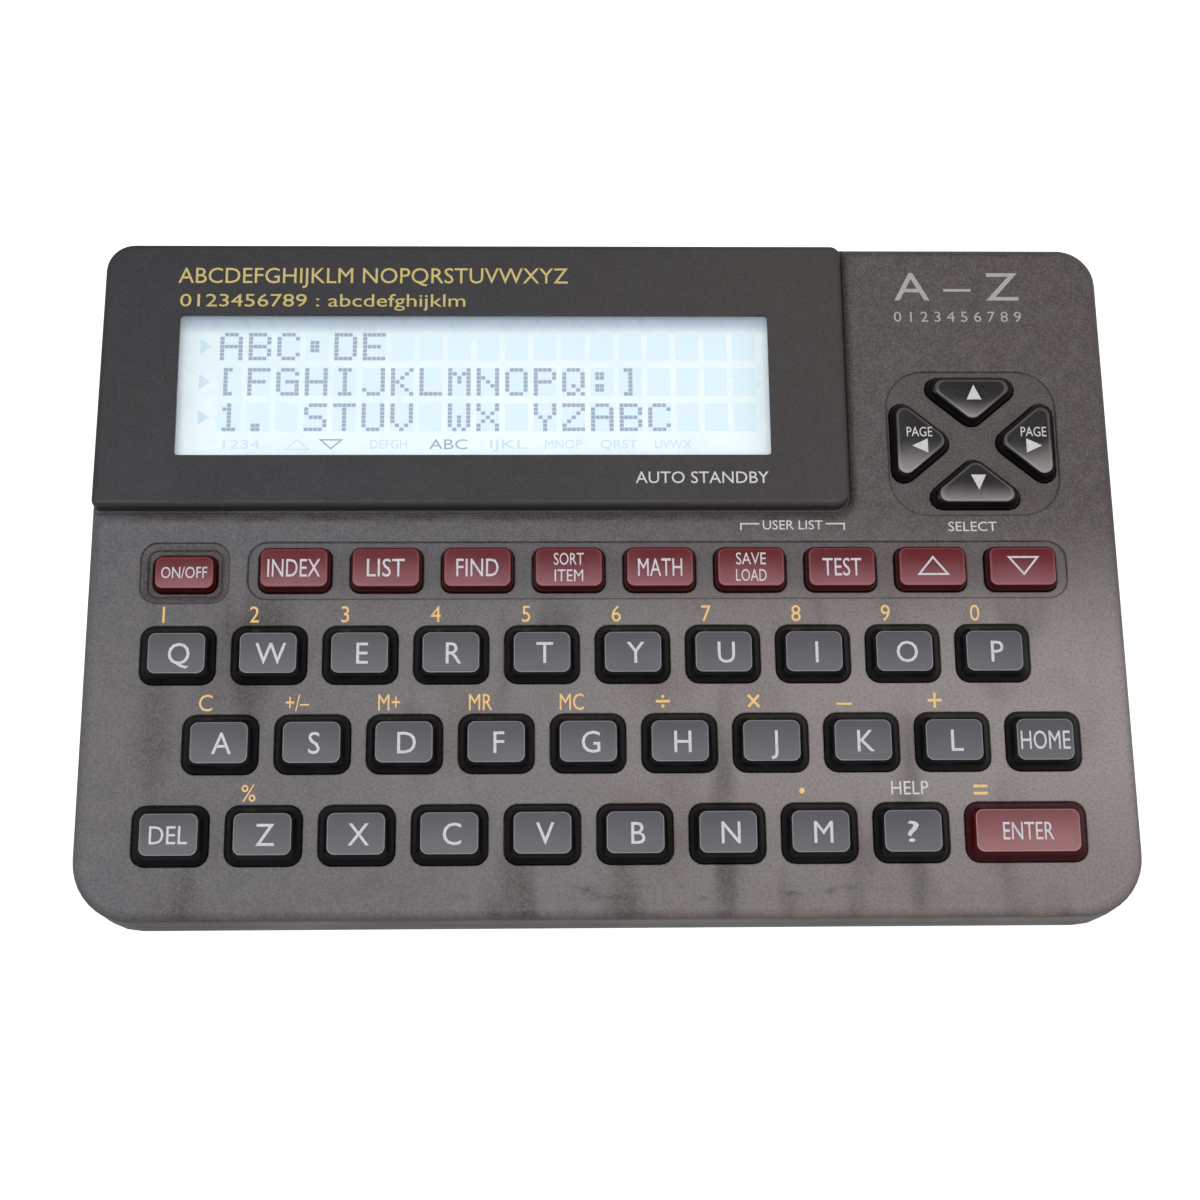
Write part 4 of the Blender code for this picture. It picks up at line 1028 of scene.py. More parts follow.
@dataclass
class KeySet:
    """All keys: their kinds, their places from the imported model, and their caps."""

    field: float
    flange: float = 0.65 * MM
    clearance: float = 0.14 * MM
    shoulder: float = 0.1 * MM
    flange_thickness: float = 0.7 * MM
    arrow_channel: float = 2.9 * MM
    corner_steps: int = 8

    def __post_init__(self) -> None:
        """Name the kinds and find each key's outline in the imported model."""
        arrow = {"radii": (1.8 * MM, 1.6 * MM, 1.6 * MM), "crown_radii": (1.4 * MM, 1.2 * MM, 1.2 * MM)}
        letter = KeyPlastic(
            "key_charcoal", tone(11, 11, 11), tone(80, 80, 85), tone(106, 104, 109), tone(172, 172, 178)
        )
        enter = KeyPlastic(
            "key_plum", tone(62, 5, 10), tone(120, 64, 70), tone(158, 110, 112), tone(205, 165, 166)
        )
        red = KeyPlastic(
            "key_maroon", tone(62, 4, 9), tone(96, 20, 28), tone(142, 88, 95), tone(176, 112, 118),
            side_roughness=0.24, plate_roughness=0.34, rim_highlight_share=0.3, grade=(0.1, 0.75),
        )
        black = KeyPlastic(
            "key_gloss_black", tone(10, 9, 9), tone(26, 24, 24), tone(150, 143, 142), tone(190, 182, 182),
            side_roughness=0.2, plate_roughness=0.3, rim_highlight_share=0.15, grade=(0.10, 0.52),
        )
        upright = {"taper": 0.35 * MM, "edge": 0.3 * MM, "crown_radii": 1.0 * MM}
        wide = {"radii": 1.7 * MM, "crown_radii": 1.0 * MM, "trim": 0.12 * MM}
        self.kinds = {
            "letter": KeyKind(letter, "key_black", 1.15 * MM, 0.14 * MM, **wide),
            "enter": KeyKind(enter, "key_brown", 1.10 * MM, 0.14 * MM, **wide),
            "function": KeyKind(red, "key_red", surround=0.4 * MM, pillow=0.05 * MM, **upright),
            "power": KeyKind(red, "key_red", surround=1.0 * MM, pillow=0.04 * MM, **upright),
            "arrow": KeyKind(black, "key_arrow", 0.6 * MM, 0.45 * MM, 0.4 * MM, pillow=0.12 * MM, **arrow),
        }
        self.keys = [self._find(node) for node in sorted(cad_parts) if node.startswith("key_")]
        self.tree = KeyTree()

    def _find(self, node: str) -> Key:
        """The key of a node, with its outline inside the flange that the node's box measures.

        Args:
            node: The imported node's name.

        Returns:
            The key.
        """
        low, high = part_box(node)
        kind = "letter"
        for mark, name in (("function", "function"), ("on_off", "power"), ("enter", "enter")):
            if mark in node:
                kind = name
        if node in ARROW_TURNS:
            return Key(node, self.kinds["arrow"], inset(self._arrow(node), self.kinds["arrow"].trim))
        grown = rectangle(low.x, high.x, low.y, high.y)
        return Key(node, self.kinds[kind], inset(grown, self.flange + self.kinds[kind].trim))

    def _arrow(self, node: str) -> Outline:
        """The triangle of an arrow key, between two channels along the pad's diagonals.

        Args:
            node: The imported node's name.

        Returns:
            Its three corners, the tip first.
        """
        boxes = {name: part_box("key_" + name) for name in ("up", "down", "left", "right")}
        reach_x = (boxes["right"][1].x - boxes["left"][0].x) / 2 - self.flange
        reach_y = (boxes["up"][1].y - boxes["down"][0].y) / 2 - self.flange
        middle = Vector(
            ((boxes["right"][1].x + boxes["left"][0].x) / 2, (boxes["up"][1].y + boxes["down"][0].y) / 2)
        )
        turn = ARROW_TURNS[node]
        reach, side_reach = (reach_y, reach_x) if turn % 2 == 0 else (reach_x, reach_y)
        tip = self.arrow_channel / 2 * math.hypot(reach, side_reach) / side_reach
        half_side = (reach - tip) * side_reach / reach
        corners = [Vector((0, tip)), Vector((half_side, reach)), Vector((-half_side, reach))]
        return [middle + Matrix.Rotation(math.radians(90) * turn, 2) @ corner for corner in corners]

    def _profile(self, key: Key) -> tuple[list[Vector], list[float], list[float]]:
        """The key's profile, from the pole below to the pole on top.

        Args:
            key: The key.

        Returns:
            The guide points, the marks of the painted highlight and the plate marks.
        """
        low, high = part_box(key.node)
        kind = key.kind
        bottom, crown = low.z, high.z
        base = self.field - kind.surround + self.shoulder
        out = -self.flange / kind.taper
        rows = [
            (out, 0.0, bottom, 0, 0),
            (out, 1.0, bottom, 0, 0),
            (out, 1.0, bottom + self.flange_thickness, 0, 0),
            (0.0, 1.0, bottom + self.flange_thickness, 0, 0),
            (0.0, 1.0, base, 0, 0),
        ]
        slope = (crown - base) / kind.taper
        start = 1 - kind.edge / kind.taper / 2
        drop = kind.edge * min(slope, 2.0) / 2
        steps = 5
        for step in range(steps + 1):
            t = step / steps
            blend = start * (1 - t) ** 2 + 2 * t * (1 - t) + (1 + kind.edge / kind.taper) * t * t
            height = (crown - drop) * (1 - t) ** 2 + crown * (1 - (1 - t) ** 2)
            rows.append((blend, 1.0, height - kind.pillow, 1 - abs(t - 0.75) * 2, 1 if t > 0.45 else 0))
        outer = 1 + kind.edge / kind.taper
        for scale in PLATE_RING_SHARES:
            rows.append((outer, scale, crown - kind.pillow * scale**2, 0, 1))
        return [Vector(row[:3]) for row in rows], [row[3] for row in rows], [row[4] for row in rows]

    def build(self) -> None:
        """Make each key's cap with the tree, and let it stand for its node on the key's own body."""
        finishes = {name: kind.finish.make() for name, kind in self.kinds.items() if name != "power"}
        finishes["power"] = finishes["function"]
        for key in self.keys:
            middle = sum(key.corners, Vector((0, 0))) / len(key.corners)
            local = [corner - middle for corner in key.corners]
            kind_name = next(name for name, kind in self.kinds.items() if kind is key.kind)
            count = len(local)
            widths = [
                list(radii) if isinstance(radii, tuple) else [radii] * count
                for radii in (key.kind.radii, key.kind.crown_radii)
            ]
            carrier = poly_curve(key.node + "_outlines", [local, inset(local, key.kind.taper)], widths, True)
            points, rims, plates = self._profile(key)
            profile = poly_curve(key.node + "_profile", [points], [rims], False)
            for point, plate in zip(profile.data.splines[0].points, plates):
                point.tilt = plate
            inputs = {"Profile": profile, "Corner Steps": self.corner_steps, "Finish": finishes[kind_name]}
            cap = self.tree.bake(carrier, key.node + "_cap", inputs)
            cap.data.transform(Matrix.Translation(middle.to_3d()))
            bpy.data.objects.remove(profile)
            mesh = bmesh.new()
            mesh.from_mesh(cap.data)
            bmesh.ops.recalc_face_normals(mesh, faces=mesh.faces)
            mesh.to_mesh(cap.data)
            mesh.free()
            cap.data.shade_smooth()
            cap.data.set_sharp_from_angle(angle=KEY_SHARP)
            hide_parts(key.node)
            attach(cap, key.node)
        log.info("key caps: %d", len(self.keys))


@dataclass
class UpperHousing:
    """The upper half of the moulded housing, with the seat of the display block and every key's aperture."""

    keys: KeySet
    finish: HousingPlastic
    wall: float = 1.8 * MM
    roof: float = 1.9 * MM
    front_radius: float = 8.0 * MM
    rear_right_radius: float = 5.2 * MM
    rear_left_radius: float = 4.2 * MM
    top_fillet: float = 1.6 * MM
    parting_edge: float = 0.12 * MM
    lean: tuple[float, ...] = (0.0, -0.35 * MM, -1.2 * MM, 0.45 * MM)
    rebate_reach: float = 0.8 * MM
    rebate_height: float = 0.8 * MM
    panel_sink: float = 1.0 * MM
    cove_side: float = 1.3 * MM
    cove_front: float = 2.0 * MM
    seat_front_radius: float = 2.3 * MM
    seat_left_radius: float = 1.0 * MM
    seat_rear_radius: float = 1.4 * MM
    recess_depth: float = 0.4 * MM
    recess_round: float = 0.34 * MM
    trough_radius: float = 2.5 * MM
    trough_side_margin: float = 1.4 * MM
    trough_margin: float = 0.85 * MM
    dish_radius: float = 5.2 * MM
    dish_margin_x: float = 0.35 * MM
    dish_margin_y: float = 0.8 * MM
    power_margin: float = 1.55 * MM
    power_slope: float = 0.8 * MM
    power_depth: float = 1.0 * MM
    power_radius: float = 2.2 * MM

    def __post_init__(self) -> None:
        """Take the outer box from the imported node."""
        self.low, self.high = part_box("top_case")

    def _radii(self, distance: float) -> list[float]:
        """Corner radii once the outline is moved inwards by the distance."""
        all_radii = (self.front_radius, self.front_radius, self.rear_right_radius, self.rear_left_radius)
        return [radius - distance for radius in all_radii]

    def section(self, distance: float, height: float) -> Section:
        """The case outline, moved inwards, at a height; the side walls lean in towards the top.

        Args:
            distance: How far the outline moves inwards.
            height: Height of the section.

        Returns:
            The rounded outline and its height.
        """
        share = max(0.0, min(1.0, (height - self.low.z) / (self.high.z - self.low.z)))
        outline = rectangle(self.low.x, self.high.x, self.low.y, self.high.y)
        leaning = [corner + Vector((lean * share, 0)) for corner, lean in zip(outline, self.lean)]
        return rounded(inset(leaning, distance), self._radii(distance)), height

    def _block(self) -> bpy.types.Object:
        """The outer form with its rolled upper edge and a fine edge at the parting line.

        Returns:
            The solid.
        """
        edge = self.parting_edge
        sections = [self.section(edge, self.low.z), self.section(0, self.low.z + edge)]
        steps = 7
        for step in range(steps + 1):
            angle = math.pi / 2 * step / steps
            reach = self.top_fillet * (1 - math.cos(angle))
            sections.append(self.section(reach, self.high.z - self.top_fillet * (1 - math.sin(angle))))
        return lofts("top_case_shell", [sections])

    def _pocket(self) -> bpy.types.Object:
        """The cutter of the display block's seat, whose coves roll down from the keyboard field.

        Returns:
            The cutter.
        """
        low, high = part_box("display_panel")
        seat = self.high.z - self.panel_sink
        sections = []
        steps = 8
        for step in range(steps + 1):
            angle = COVE_TURN * step / steps
            spread = 1 - math.cos(angle)
            outline = rectangle(
                self.low.x - OVERRUN,
                high.x + FIT_GAP + self.cove_side * spread,
                low.y - FIT_GAP - self.cove_front * spread,
                self.high.y + OVERRUN,
            )
            radius = self.seat_front_radius + self.cove_side * spread
            radii = [self.seat_left_radius, radius, self.seat_rear_radius, self.rear_left_radius]
            sections.append((rounded(outline, radii, 6), seat + self.panel_sink * math.sin(angle)))
        sections.append((sections[-1][0], self.high.z + OVERRUN))
        return lofts("display_seat", [sections])

    def _recess(
        self, outline: Outline, radius: float, depth: float, slope: float, lip: float
    ) -> list[Section]:
        """A shallow recess with a rounded foot, sloping sides and a rolled mouth.

        Args:
            outline: The mouth's sharp corners.
            radius: The mouth's corner radius.
            depth: Depth below the field.
            slope: How far the sides lean inwards on their way down.
            lip: Radius of the rolled mouth and of the foot.

        Returns:
            The cutter's sections from the floor up.
        """

        def shape(spread: float) -> Outline:
            return rounded(inset(outline, -spread), radius + spread, 8)

        floor = self.high.z - depth
        foot = min(lip, depth - lip)
        sections = []
        for step in range(LIP_STEPS + 1):
            angle = math.pi / 2 * step / LIP_STEPS
            lean, rise = foot * (1 - math.sin(angle)), foot * (1 - math.cos(angle))
            sections.append((shape(-slope - lean), floor + rise))
        if slope == 0:
            sections.pop()
        return sections + mouth(shape, self.high.z, lip)

    def _recesses(self) -> bpy.types.Object:
        """The cutters of the function keys' trough, the arrow dish and the power key's dish.

        Returns:
            The cutters as one object.
        """
        first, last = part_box("key_function_1"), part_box("key_function_9")
        flange = self.keys.flange
        side, ends = self.trough_side_margin, self.trough_margin
        trough = rectangle(
            first[0].x + flange - side,
            last[1].x - flange + side,
            first[0].y + flange - ends,
            first[1].y - flange + ends,
        )
        left, right, up, down = (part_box("key_" + name) for name in ("left", "right", "up", "down"))
        dish = rectangle(
            left[0].x + flange - self.dish_margin_x,
            right[1].x - flange + self.dish_margin_x,
            down[0].y + flange - self.dish_margin_y,
            up[1].y - flange + self.dish_margin_y,
        )
        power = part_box("key_on_off")
        bowl = inset(rectangle(power[0].x, power[1].x, power[0].y, power[1].y), flange - self.power_margin)
        soft = self.recess_round
        stacks = [
            self._recess(trough, self.trough_radius, self.recess_depth, 0, soft),
            self._recess(dish, self.dish_radius, self.recess_depth, 0, soft),
            self._recess(bowl, self.power_radius, self.power_depth, self.power_slope, soft),
        ]
        return lofts("key_recesses", stacks)

    def build(self) -> None:
        """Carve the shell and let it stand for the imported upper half."""
        shell = self._block()
        ceiling = self.high.z - self.roof
        hollow = lofts(
            "hollow", [[self.section(self.wall, self.low.z - OVERRUN), self.section(self.wall, ceiling)]]
        )
        foot, top = self.low.z - OVERRUN, self.low.z + self.rebate_height
        reach = self.rebate_reach
        rebate = lofts("rebate", [[self.section(reach, foot), self.section(reach, top)]])
        glass_low, glass_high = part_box("lcd_glass")
        opening = inset(rectangle(glass_low.x, glass_high.x, glass_low.y, glass_high.y), -FIT_GAP)
        glass_hole = lofts("glass_hole", [[(opening, self.low.z), (opening, self.high.z + OVERRUN)]])
        holes = lofts(
            "key_apertures",
            [key.aperture(ceiling - OVERRUN, self.high.z, self.keys.clearance) for key in self.keys.keys],
        )
        carve(shell, hollow, rebate, self._pocket(), glass_hole, self._recesses(), holes)
        soften(shell)
        dress(shell, "case", self.finish.make())
        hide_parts("top_case")
        log.info("upper housing: %d faces", len(shell.data.polygons))


def refine(node: str, material: bpy.types.Material, edge: float, merge: float = 0.002 * MM) -> None:
    """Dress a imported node: its loose triangles are welded, its flats joined and its sharp edges broken.

    Args:
        node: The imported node's name.
        material: Its finish.
        edge: Width of the broken edge, or 0 for none.
        merge: Distance under which points are one.
    """
    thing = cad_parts[node]
    thing.data.materials.clear()
    thing.data.materials.append(material)
    thing.data.shade_smooth()
    weld = thing.modifiers.new("weld", "WELD")
    weld.merge_threshold = merge
    flat = thing.modifiers.new("flats", "DECIMATE")
    flat.decimate_type = "DISSOLVE"
    flat.angle_limit = math.radians(0.5)
    if edge:
        bevel = thing.modifiers.new("broken_edge", "BEVEL")
        bevel.width = edge
        bevel.segments = 2
        bevel.limit_method = "ANGLE"
        bevel.angle_limit = math.radians(50)
        bevel.use_clamp_overlap = True
    weigh = thing.modifiers.new("weighted_normals", "WEIGHTED_NORMAL")
    weigh.weight = 100


def text_mesh(text: str, height: float, width: float, stretch: float) -> bpy.types.Mesh:
    """A line of lettering centred on the origin.

    Args:
        text: The letters.
        height: Height of its capitals.
        width: Width of the whole line, or 0 to follow the stretch.
        stretch: Letter width as a share of the font's own.

    Returns:
        A thin solid mesh.
    """
    curve = bpy.data.curves.new("lettering", "FONT")
    curve.body = text
    curve.resolution_u = 3
    curve.extrude = MARK_EXTRUDE
    thing = bpy.data.objects.new("lettering", curve)
    bpy.context.scene.collection.objects.link(thing)
    data = evaluated_mesh(thing, "lettering")
    bpy.data.objects.remove(thing)
    across = [vertex.co.x for vertex in data.vertices]
    left, right = min(across), max(across)
    data.transform(Matrix.Translation((-(left + right) / 2, -CAPITAL_SHARE / 2, 0)))
    scale = height / CAPITAL_SHARE
    data.transform(Matrix.Diagonal((width / (right - left) if width else scale * stretch, scale, 1.0, 1.0)))
    return data


def shape_mesh(outlines: list[Outline]) -> bpy.types.Mesh:
    """A thin flat shape; each outline inside the first is a hole.

    Args:
        outlines: The outer outline and its holes.

    Returns:
        The thin mesh.
    """
    curve = bpy.data.curves.new("sign", "CURVE")
    curve.dimensions = "2D"
    curve.fill_mode = "BOTH"
    curve.extrude = MARK_EXTRUDE
    for outline in outlines:
        spline = curve.splines.new("POLY")
        spline.points.add(len(outline) - 1)
        spline.use_cyclic_u = True
        for point, place in zip(spline.points, outline):
            point.co = (place.x, place.y, 0, 1)
    thing = bpy.data.objects.new("sign", curve)
    bpy.context.scene.collection.objects.link(thing)
    data = evaluated_mesh(thing, "sign")
    bpy.data.objects.remove(thing)
    return data


def arrow_head(width: float, height: float, turns: int, line: float = 0.0) -> bpy.types.Mesh:
    """A triangular sign, filled or drawn as a line.

    Args:
        width: Its base.
        height: Base to tip.
        turns: Quarter turns anticlockwise from pointing up.
        line: Line width, or 0 for a filled sign.

    Returns:
        The thin mesh, centred on the origin.
    """
    corners = [Vector((-width / 2, -height / 2)), Vector((width / 2, -height / 2)), Vector((0, height / 2))]
    outlines = [corners, inset(corners, line)] if line else [corners]
    data = shape_mesh(outlines)
    data.transform(Matrix.Rotation(math.radians(90) * turns, 4, "Z"))
    return data


@dataclass(frozen=True)
class Label:
    """A printed line: its words, its middle and its size."""

    text: str
    x: float
    y: float
    height: float
    width: float


class PrintRun:
    """Marks of one ink that lie on one body, gathered and printed as one piece."""

    def __init__(self, name: str, ink: Tone, body: str) -> None:
        """Start an empty run."""
        self.name, self.ink, self.body = name, ink, body
        self.mesh = bmesh.new()

    def add(self, data: bpy.types.Mesh, x: float, y: float, surface: float) -> None:
        """Lay a thin mesh on the surface at a place, with an ink's depth.

        Args:
            data: The mesh, which is removed.
            x: Place along X.
            y: Place along Y.
            surface: Its height.
        """
        data.transform(Matrix.Diagonal((1.0, 1.0, INK_DEPTH / MARK_EXTRUDE / 2, 1.0)))
        data.transform(Matrix.Translation((x, y, surface + INK_DEPTH)))
        self.mesh.from_mesh(data)
        bpy.data.meshes.remove(data)

    def words(
        self,
        text: str,
        x: float,
        y: float,
        surface: float,
        height: float,
        width: float = 0.0,
        stretch: float = 1.0,
    ) -> None:
        """Print a line of text centred on a place."""
        self.add(text_mesh(text, height, width, stretch), x, y, surface)

    def label(self, label: Label, surface: float) -> None:
        """Print a label on a surface."""
        self.words(label.text, label.x, label.y, surface, label.height, label.width)

    def finish(self) -> None:
        """Turn the run into one piece on its body."""
        bmesh.ops.remove_doubles(self.mesh, verts=self.mesh.verts, dist=MERGE / 10)
        piece = from_bmesh(self.name, self.mesh)
        dress(piece, self.body, self.ink.material())


TITLE_LABELS = (
    Label("ABCDEFGHIJKLM NOPQRSTUVWXYZ", x=-32.1 * MM, y=41.8 * MM, height=2.4 * MM, width=53.6 * MM),
    Label("0123456789 : abcdefghijklm", x=-39.0 * MM, y=38.1 * MM, height=1.95 * MM, width=39.1 * MM),
)
MAKER_LABELS = (
    Label("A – Z", x=48.9 * MM, y=41.0 * MM, height=4.4 * MM, width=17.4 * MM),
    Label("0 1 2 3 4 5 6 7 8 9", x=48.9 * MM, y=36.4 * MM, height=1.6 * MM, width=17.8 * MM),
)
USER_LABEL = Label("USER LIST", x=24.9 * MM, y=6.1 * MM, height=1.35 * MM, width=8.1 * MM)
STANDBY_LABEL = Label("AUTO STANDBY", x=12.7 * MM, y=12.4 * MM, height=1.75 * MM, width=18.0 * MM)


@dataclass
class KeyLegends:
    """The printed letters, words and signs on the key tops."""

    keys: KeySet
    letter_height: float = 3.05 * MM
    line_pitch: float = 2.3 * MM
    letter_shift: float = 0.35 * MM
    letter_stretch: float = 0.93
    sign_line: float = 0.26 * MM

    def build(self) -> None:
        """Print each key's legend on its own body."""
        for key in self.keys.keys:
            low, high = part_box(key.node)
            x, y, top = (low.x + high.x) / 2, (low.y + high.y) / 2, high.z
            run = PrintRun(key.node + "_legend", Tone.WHITE, key.node)
            if key.node in ARROW_TURNS:
                self._arrow(run, key, ARROW_TURNS[key.node])
            elif key.node in ("key_function_8", "key_function_9"):
                down = key.node.endswith("9")
                sign = arrow_head(4.4 * MM, 2.7 * MM, 2 if down else 0, self.sign_line)
                run.add(sign, x + 0.1 * MM, y + (0.0 if down else 0.1 * MM), top)
            elif key.node in KEY_WORDS:
                words = KEY_WORDS[key.node]
                for row, (word, height, width) in enumerate(words):
                    rise = (len(words) - 1) * (0.5 - row) * self.line_pitch
                    run.words(word, x, y + rise, top, height * MM, width * MM)
            else:
                letter, place = key.node[-1].upper(), x + self.letter_shift
                run.words(letter, place, y, top, self.letter_height, stretch=self.letter_stretch)
            run.finish()
        log.info("key legends: %d", len(self.keys.keys))

    def _arrow(self, run: PrintRun, key: Key, turn: int) -> None:
        """The filled triangle of an arrow key, with a small page mark above it on the side keys.

        Args:
            run: The print that takes them.
            key: The key.
            turn: Quarter turns from pointing up.
        """
        middle = sum(key.corners, Vector((0, 0))) / 3
        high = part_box(key.node)[1]
        offsets = {0: (0.25, -0.1), 1: (0.75, -0.9), 2: (0.25, 0.8), 3: (-0.1, -0.9)}
        shift_x, shift_y = offsets[turn]
        sign = arrow_head(2.05 * MM, 2.15 * MM, turn)
        run.add(sign, middle.x + shift_x * MM, middle.y + shift_y * MM, high.z)
        if turn % 2:
            run.words("PAGE", middle.x + shift_x * MM, middle.y + 1.15 * MM, high.z, 1.45 * MM, 3.5 * MM)


@dataclass
class CaseLettering:
    """Everything printed on the keyboard field of the case."""

    keys: KeySet
    label_height: float = 2.35 * MM
    sign_height: float = 3.2 * MM
    label_shift_x: float = -2.1 * MM
    label_shift_y: float = 5.65 * MM

    def build(self) -> None:
        """Print the amber labels over the keys and the grey labels round them."""
        field = self.keys.field
        amber = PrintRun("labels_amber", Tone.GOLD, "case")
        labels = dict(zip(("key_" + letter for letter in "qwertyuiop"), "1234567890"))
        signs = ("C", "+/–", "M+", "MR", "MC", "÷", "×", "–", "+")
        labels.update(zip(("key_" + letter for letter in "asdfghjkl"), signs))
        labels.update({"key_z": "%", "key_m": "•", "key_enter": "="})
        for node, text in labels.items():
            low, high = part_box(node)
            x = (low.x + high.x) / 2 + self.label_shift_x
            if node == "key_enter":
                x = low.x + 3.0 * MM
            y = (low.y + high.y) / 2 + self.label_shift_y
            height = self.sign_height if text in "÷×–+=" else self.label_height
            amber.words(text, x, y, field, height, stretch=0.72 if len(text) > 1 else 0.9)
        amber.finish()
        grey = PrintRun("labels_pale", Tone.PALE, "case")
        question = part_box("key_question")
        grey.words("HELP", question[0].x + 5.7 * MM, question[1].y + 1.3 * MM, field, 1.9 * MM, 4.9 * MM)
        pad_low, pad_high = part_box("key_down")
        grey.words("SELECT", (pad_low.x + pad_high.x) / 2 - 0.7 * MM, 5.85 * MM, field, 1.4 * MM, 6.6 * MM)
        grey.label(USER_LABEL, field)
        for side in (-1, 1):
            grey.add(self._bracket(side), (24.87 + side * 7.1) * MM, 6.33 * MM, field)
        grey.finish()
        grey = PrintRun("maker_place", Tone.GREY, "case")
        for label in MAKER_LABELS:
            grey.label(label, field)
        grey.finish()
        log.info("case lettering: amber and grey")

    @staticmethod
    def _bracket(side: int) -> bpy.types.Mesh:
        """One arm of the bracket over two function keys: a short run with a tick down at its outer end.

        Args:
            side: -1 for the left arm and 1 for the right one.

        Returns:
            The thin mesh.
        """
        line, run, tick = 0.2 * MM, 2.6 * MM, 1.0 * MM
        corners = [(0, 0), (-run, 0), (-run, -line), (-line, -line), (-line, -tick), (0, -tick)]
        points = [Vector((side * x, y)) for x, y in corners]
        return shape_mesh([points if side < 0 else points[::-1]])


@dataclass
class DisplayBlock:
    """The raised block with its window, the pane, the glass, its characters and the block's print."""

    finish: HousingPlastic
    front_left: float = 1.0 * MM
    front_right: float = 2.0 * MM
    rear_right: float = 1.4 * MM
    rear_left: float = 3.85 * MM
    fillet: float = 0.8 * MM
    lean_left: float = 0.4 * MM
    window_radius: float = 0.5 * MM
    window_lip: float = 0.15 * MM
    pane_ledge: float = 1.2 * MM
    columns: int = 19
    column_pitch: float = 3.92 * MM
    row_pitch: float = 5.17 * MM
    dot_pitch: float = 0.63 * MM
    dot_depth_pitch: float = 0.585 * MM
    first_cell: float = -53.2 * MM
    first_row: float = 34.15 * MM
    faint_share: float = 0.94
    faint_lift: float = 0.3
    dark_shares: tuple[float, float] = (0.90, 0.88)
    signs_y: float = 17.9 * MM
    arrows_y: float = 17.85 * MM

    def build(self) -> None:
        """Build the block, dress the pane and the glass, and set the characters."""
        low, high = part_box("display_panel")
        pane_low, pane_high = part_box("display_window")
        corners = rectangle(low.x, high.x, low.y, high.y)
        corners[3].x += self.lean_left
        sections = [(rounded(corners, self._radii(0)), low.z)]
        steps = 8
        for step in range(steps + 1):
            angle = math.pi / 2 * step / steps
            reach = self.fillet * (1 - math.cos(angle))
            outline = rounded(inset(corners, reach), self._radii(reach))
            sections.append((outline, high.z - self.fillet * (1 - math.sin(angle))))
        block = lofts("display_block", [sections])
        pane = rectangle(pane_low.x, pane_high.x, pane_low.y, pane_high.y)
        window = inset(pane, self.pane_ledge)

        def shape(spread: float) -> Outline:
            return rounded(inset(window, -spread), self.window_radius + spread, 6)

        hole = lofts("window", [[(shape(0), low.z - OVERRUN)] + mouth(shape, high.z, self.window_lip)])
        room = inset(pane, -FIT_GAP)
        room_cutter = lofts("pane_room", [[(room, low.z - OVERRUN), (room, pane_high.z + FIT_GAP)]])
        carve(block, hole, room_cutter)
        soften(block)
        dress(block, "case", self.finish.make())
        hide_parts("display_panel")
        refine("display_window", ClearPane("window_clear", 0.035).make(), 0.05 * MM)
        glass = DisplayGlass("display_pale", tone(240, 252, 254), tone(150, 172, 196))
        refine("lcd_glass", glass.make(window[2].y), 0.0)
        self._characters(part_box("lcd_glass")[1].z)
        self._lettering(high.z)
        log.info("display block, pane, glass and characters")

    def _radii(self, distance: float) -> list[float]:
        """Corner radii of the block once its outline is moved inwards."""
        return [r - distance for r in (self.front_left, self.front_right, self.rear_right, self.rear_left)]

    def _dot(self, column: int, row: int, dot_x: int, dot_y: int) -> tuple[float, float]:
        """The middle of one dot of a character's cell.

        Args:
            column: The cell's place in its row.
            row: The cell's row from the rear.
            dot_x: The dot's place in the cell from the left.
            dot_y: The dot's place in the cell from the rear.

        Returns:
            Its X and Y.
        """
        x = self.first_cell + column * self.column_pitch + (dot_x + 0.5) * self.dot_pitch
        y = self.first_row - row * self.row_pitch - (dot_y + 0.5) * self.dot_depth_pitch
        return x, y

    def _characters(self, glass: float) -> None:
        """Lit dots, faint unlit cells and the row of small signs, laid on the glass.

        Args:
            glass: Height of the glass.
        """
        lit, cells = [], []
        for row, text in enumerate(DISPLAY_ROWS):
            for column in range(self.columns):
                cells += [self._dot(column, row, x, y) for x in range(DOT_COLUMNS) for y in range(DOT_ROWS)]
                letter = text[column] if column < len(text) else " "
                for dot_y, line in enumerate(DOT_LETTERS.get(letter, "").split()):
                    marks = [dot_x for dot_x, dot in enumerate(line) if dot == "#"]
                    lit += [self._dot(column, row, dot_x, dot_y) for dot_x in marks]
        width, depth = self.dot_pitch, self.dot_depth_pitch
        faint_tile = (width * self.faint_share, depth * self.faint_share, INK_DEPTH * self.faint_lift)
        dark_tile = (width * self.dark_shares[0], depth * self.dark_shares[1], INK_DEPTH)
        tree = TileTree()
        tree.lay("display_dots_unlit", cells, glass, faint_tile, Tone.UNLIT)
        tree.lay("display_dots_lit", lit, glass, dark_tile, Tone.LIT)
        lit_signs = PrintRun("display_signs_lit", Tone.LIT, "case")
        lit_signs.add(arrow_head(3.4 * MM, 1.5 * MM, 2, 0.2 * MM), -37.65 * MM, self.arrows_y, glass)
        lit_signs.words("ABC", -21.7 * MM, self.signs_y, glass, 1.5 * MM, 5.2 * MM)
        lit_signs.finish()
        faint = PrintRun("display_signs_faint", Tone.ICON, "case")
        for row in range(3):
            y = self.first_row - row * self.row_pitch - 2.05 * MM
            faint.add(arrow_head(2.2 * MM, 1.5 * MM, 3), -55.1 * MM, y, glass)
        faint.add(arrow_head(3.4 * MM, 1.5 * MM, 0, 0.12 * MM), -42.2 * MM, self.arrows_y, glass)
        for word, place in FAINT_SIGNS.items():
            faint.words(word, place * MM, self.signs_y, glass, 1.35 * MM, 5.0 * MM)
        faint.finish()

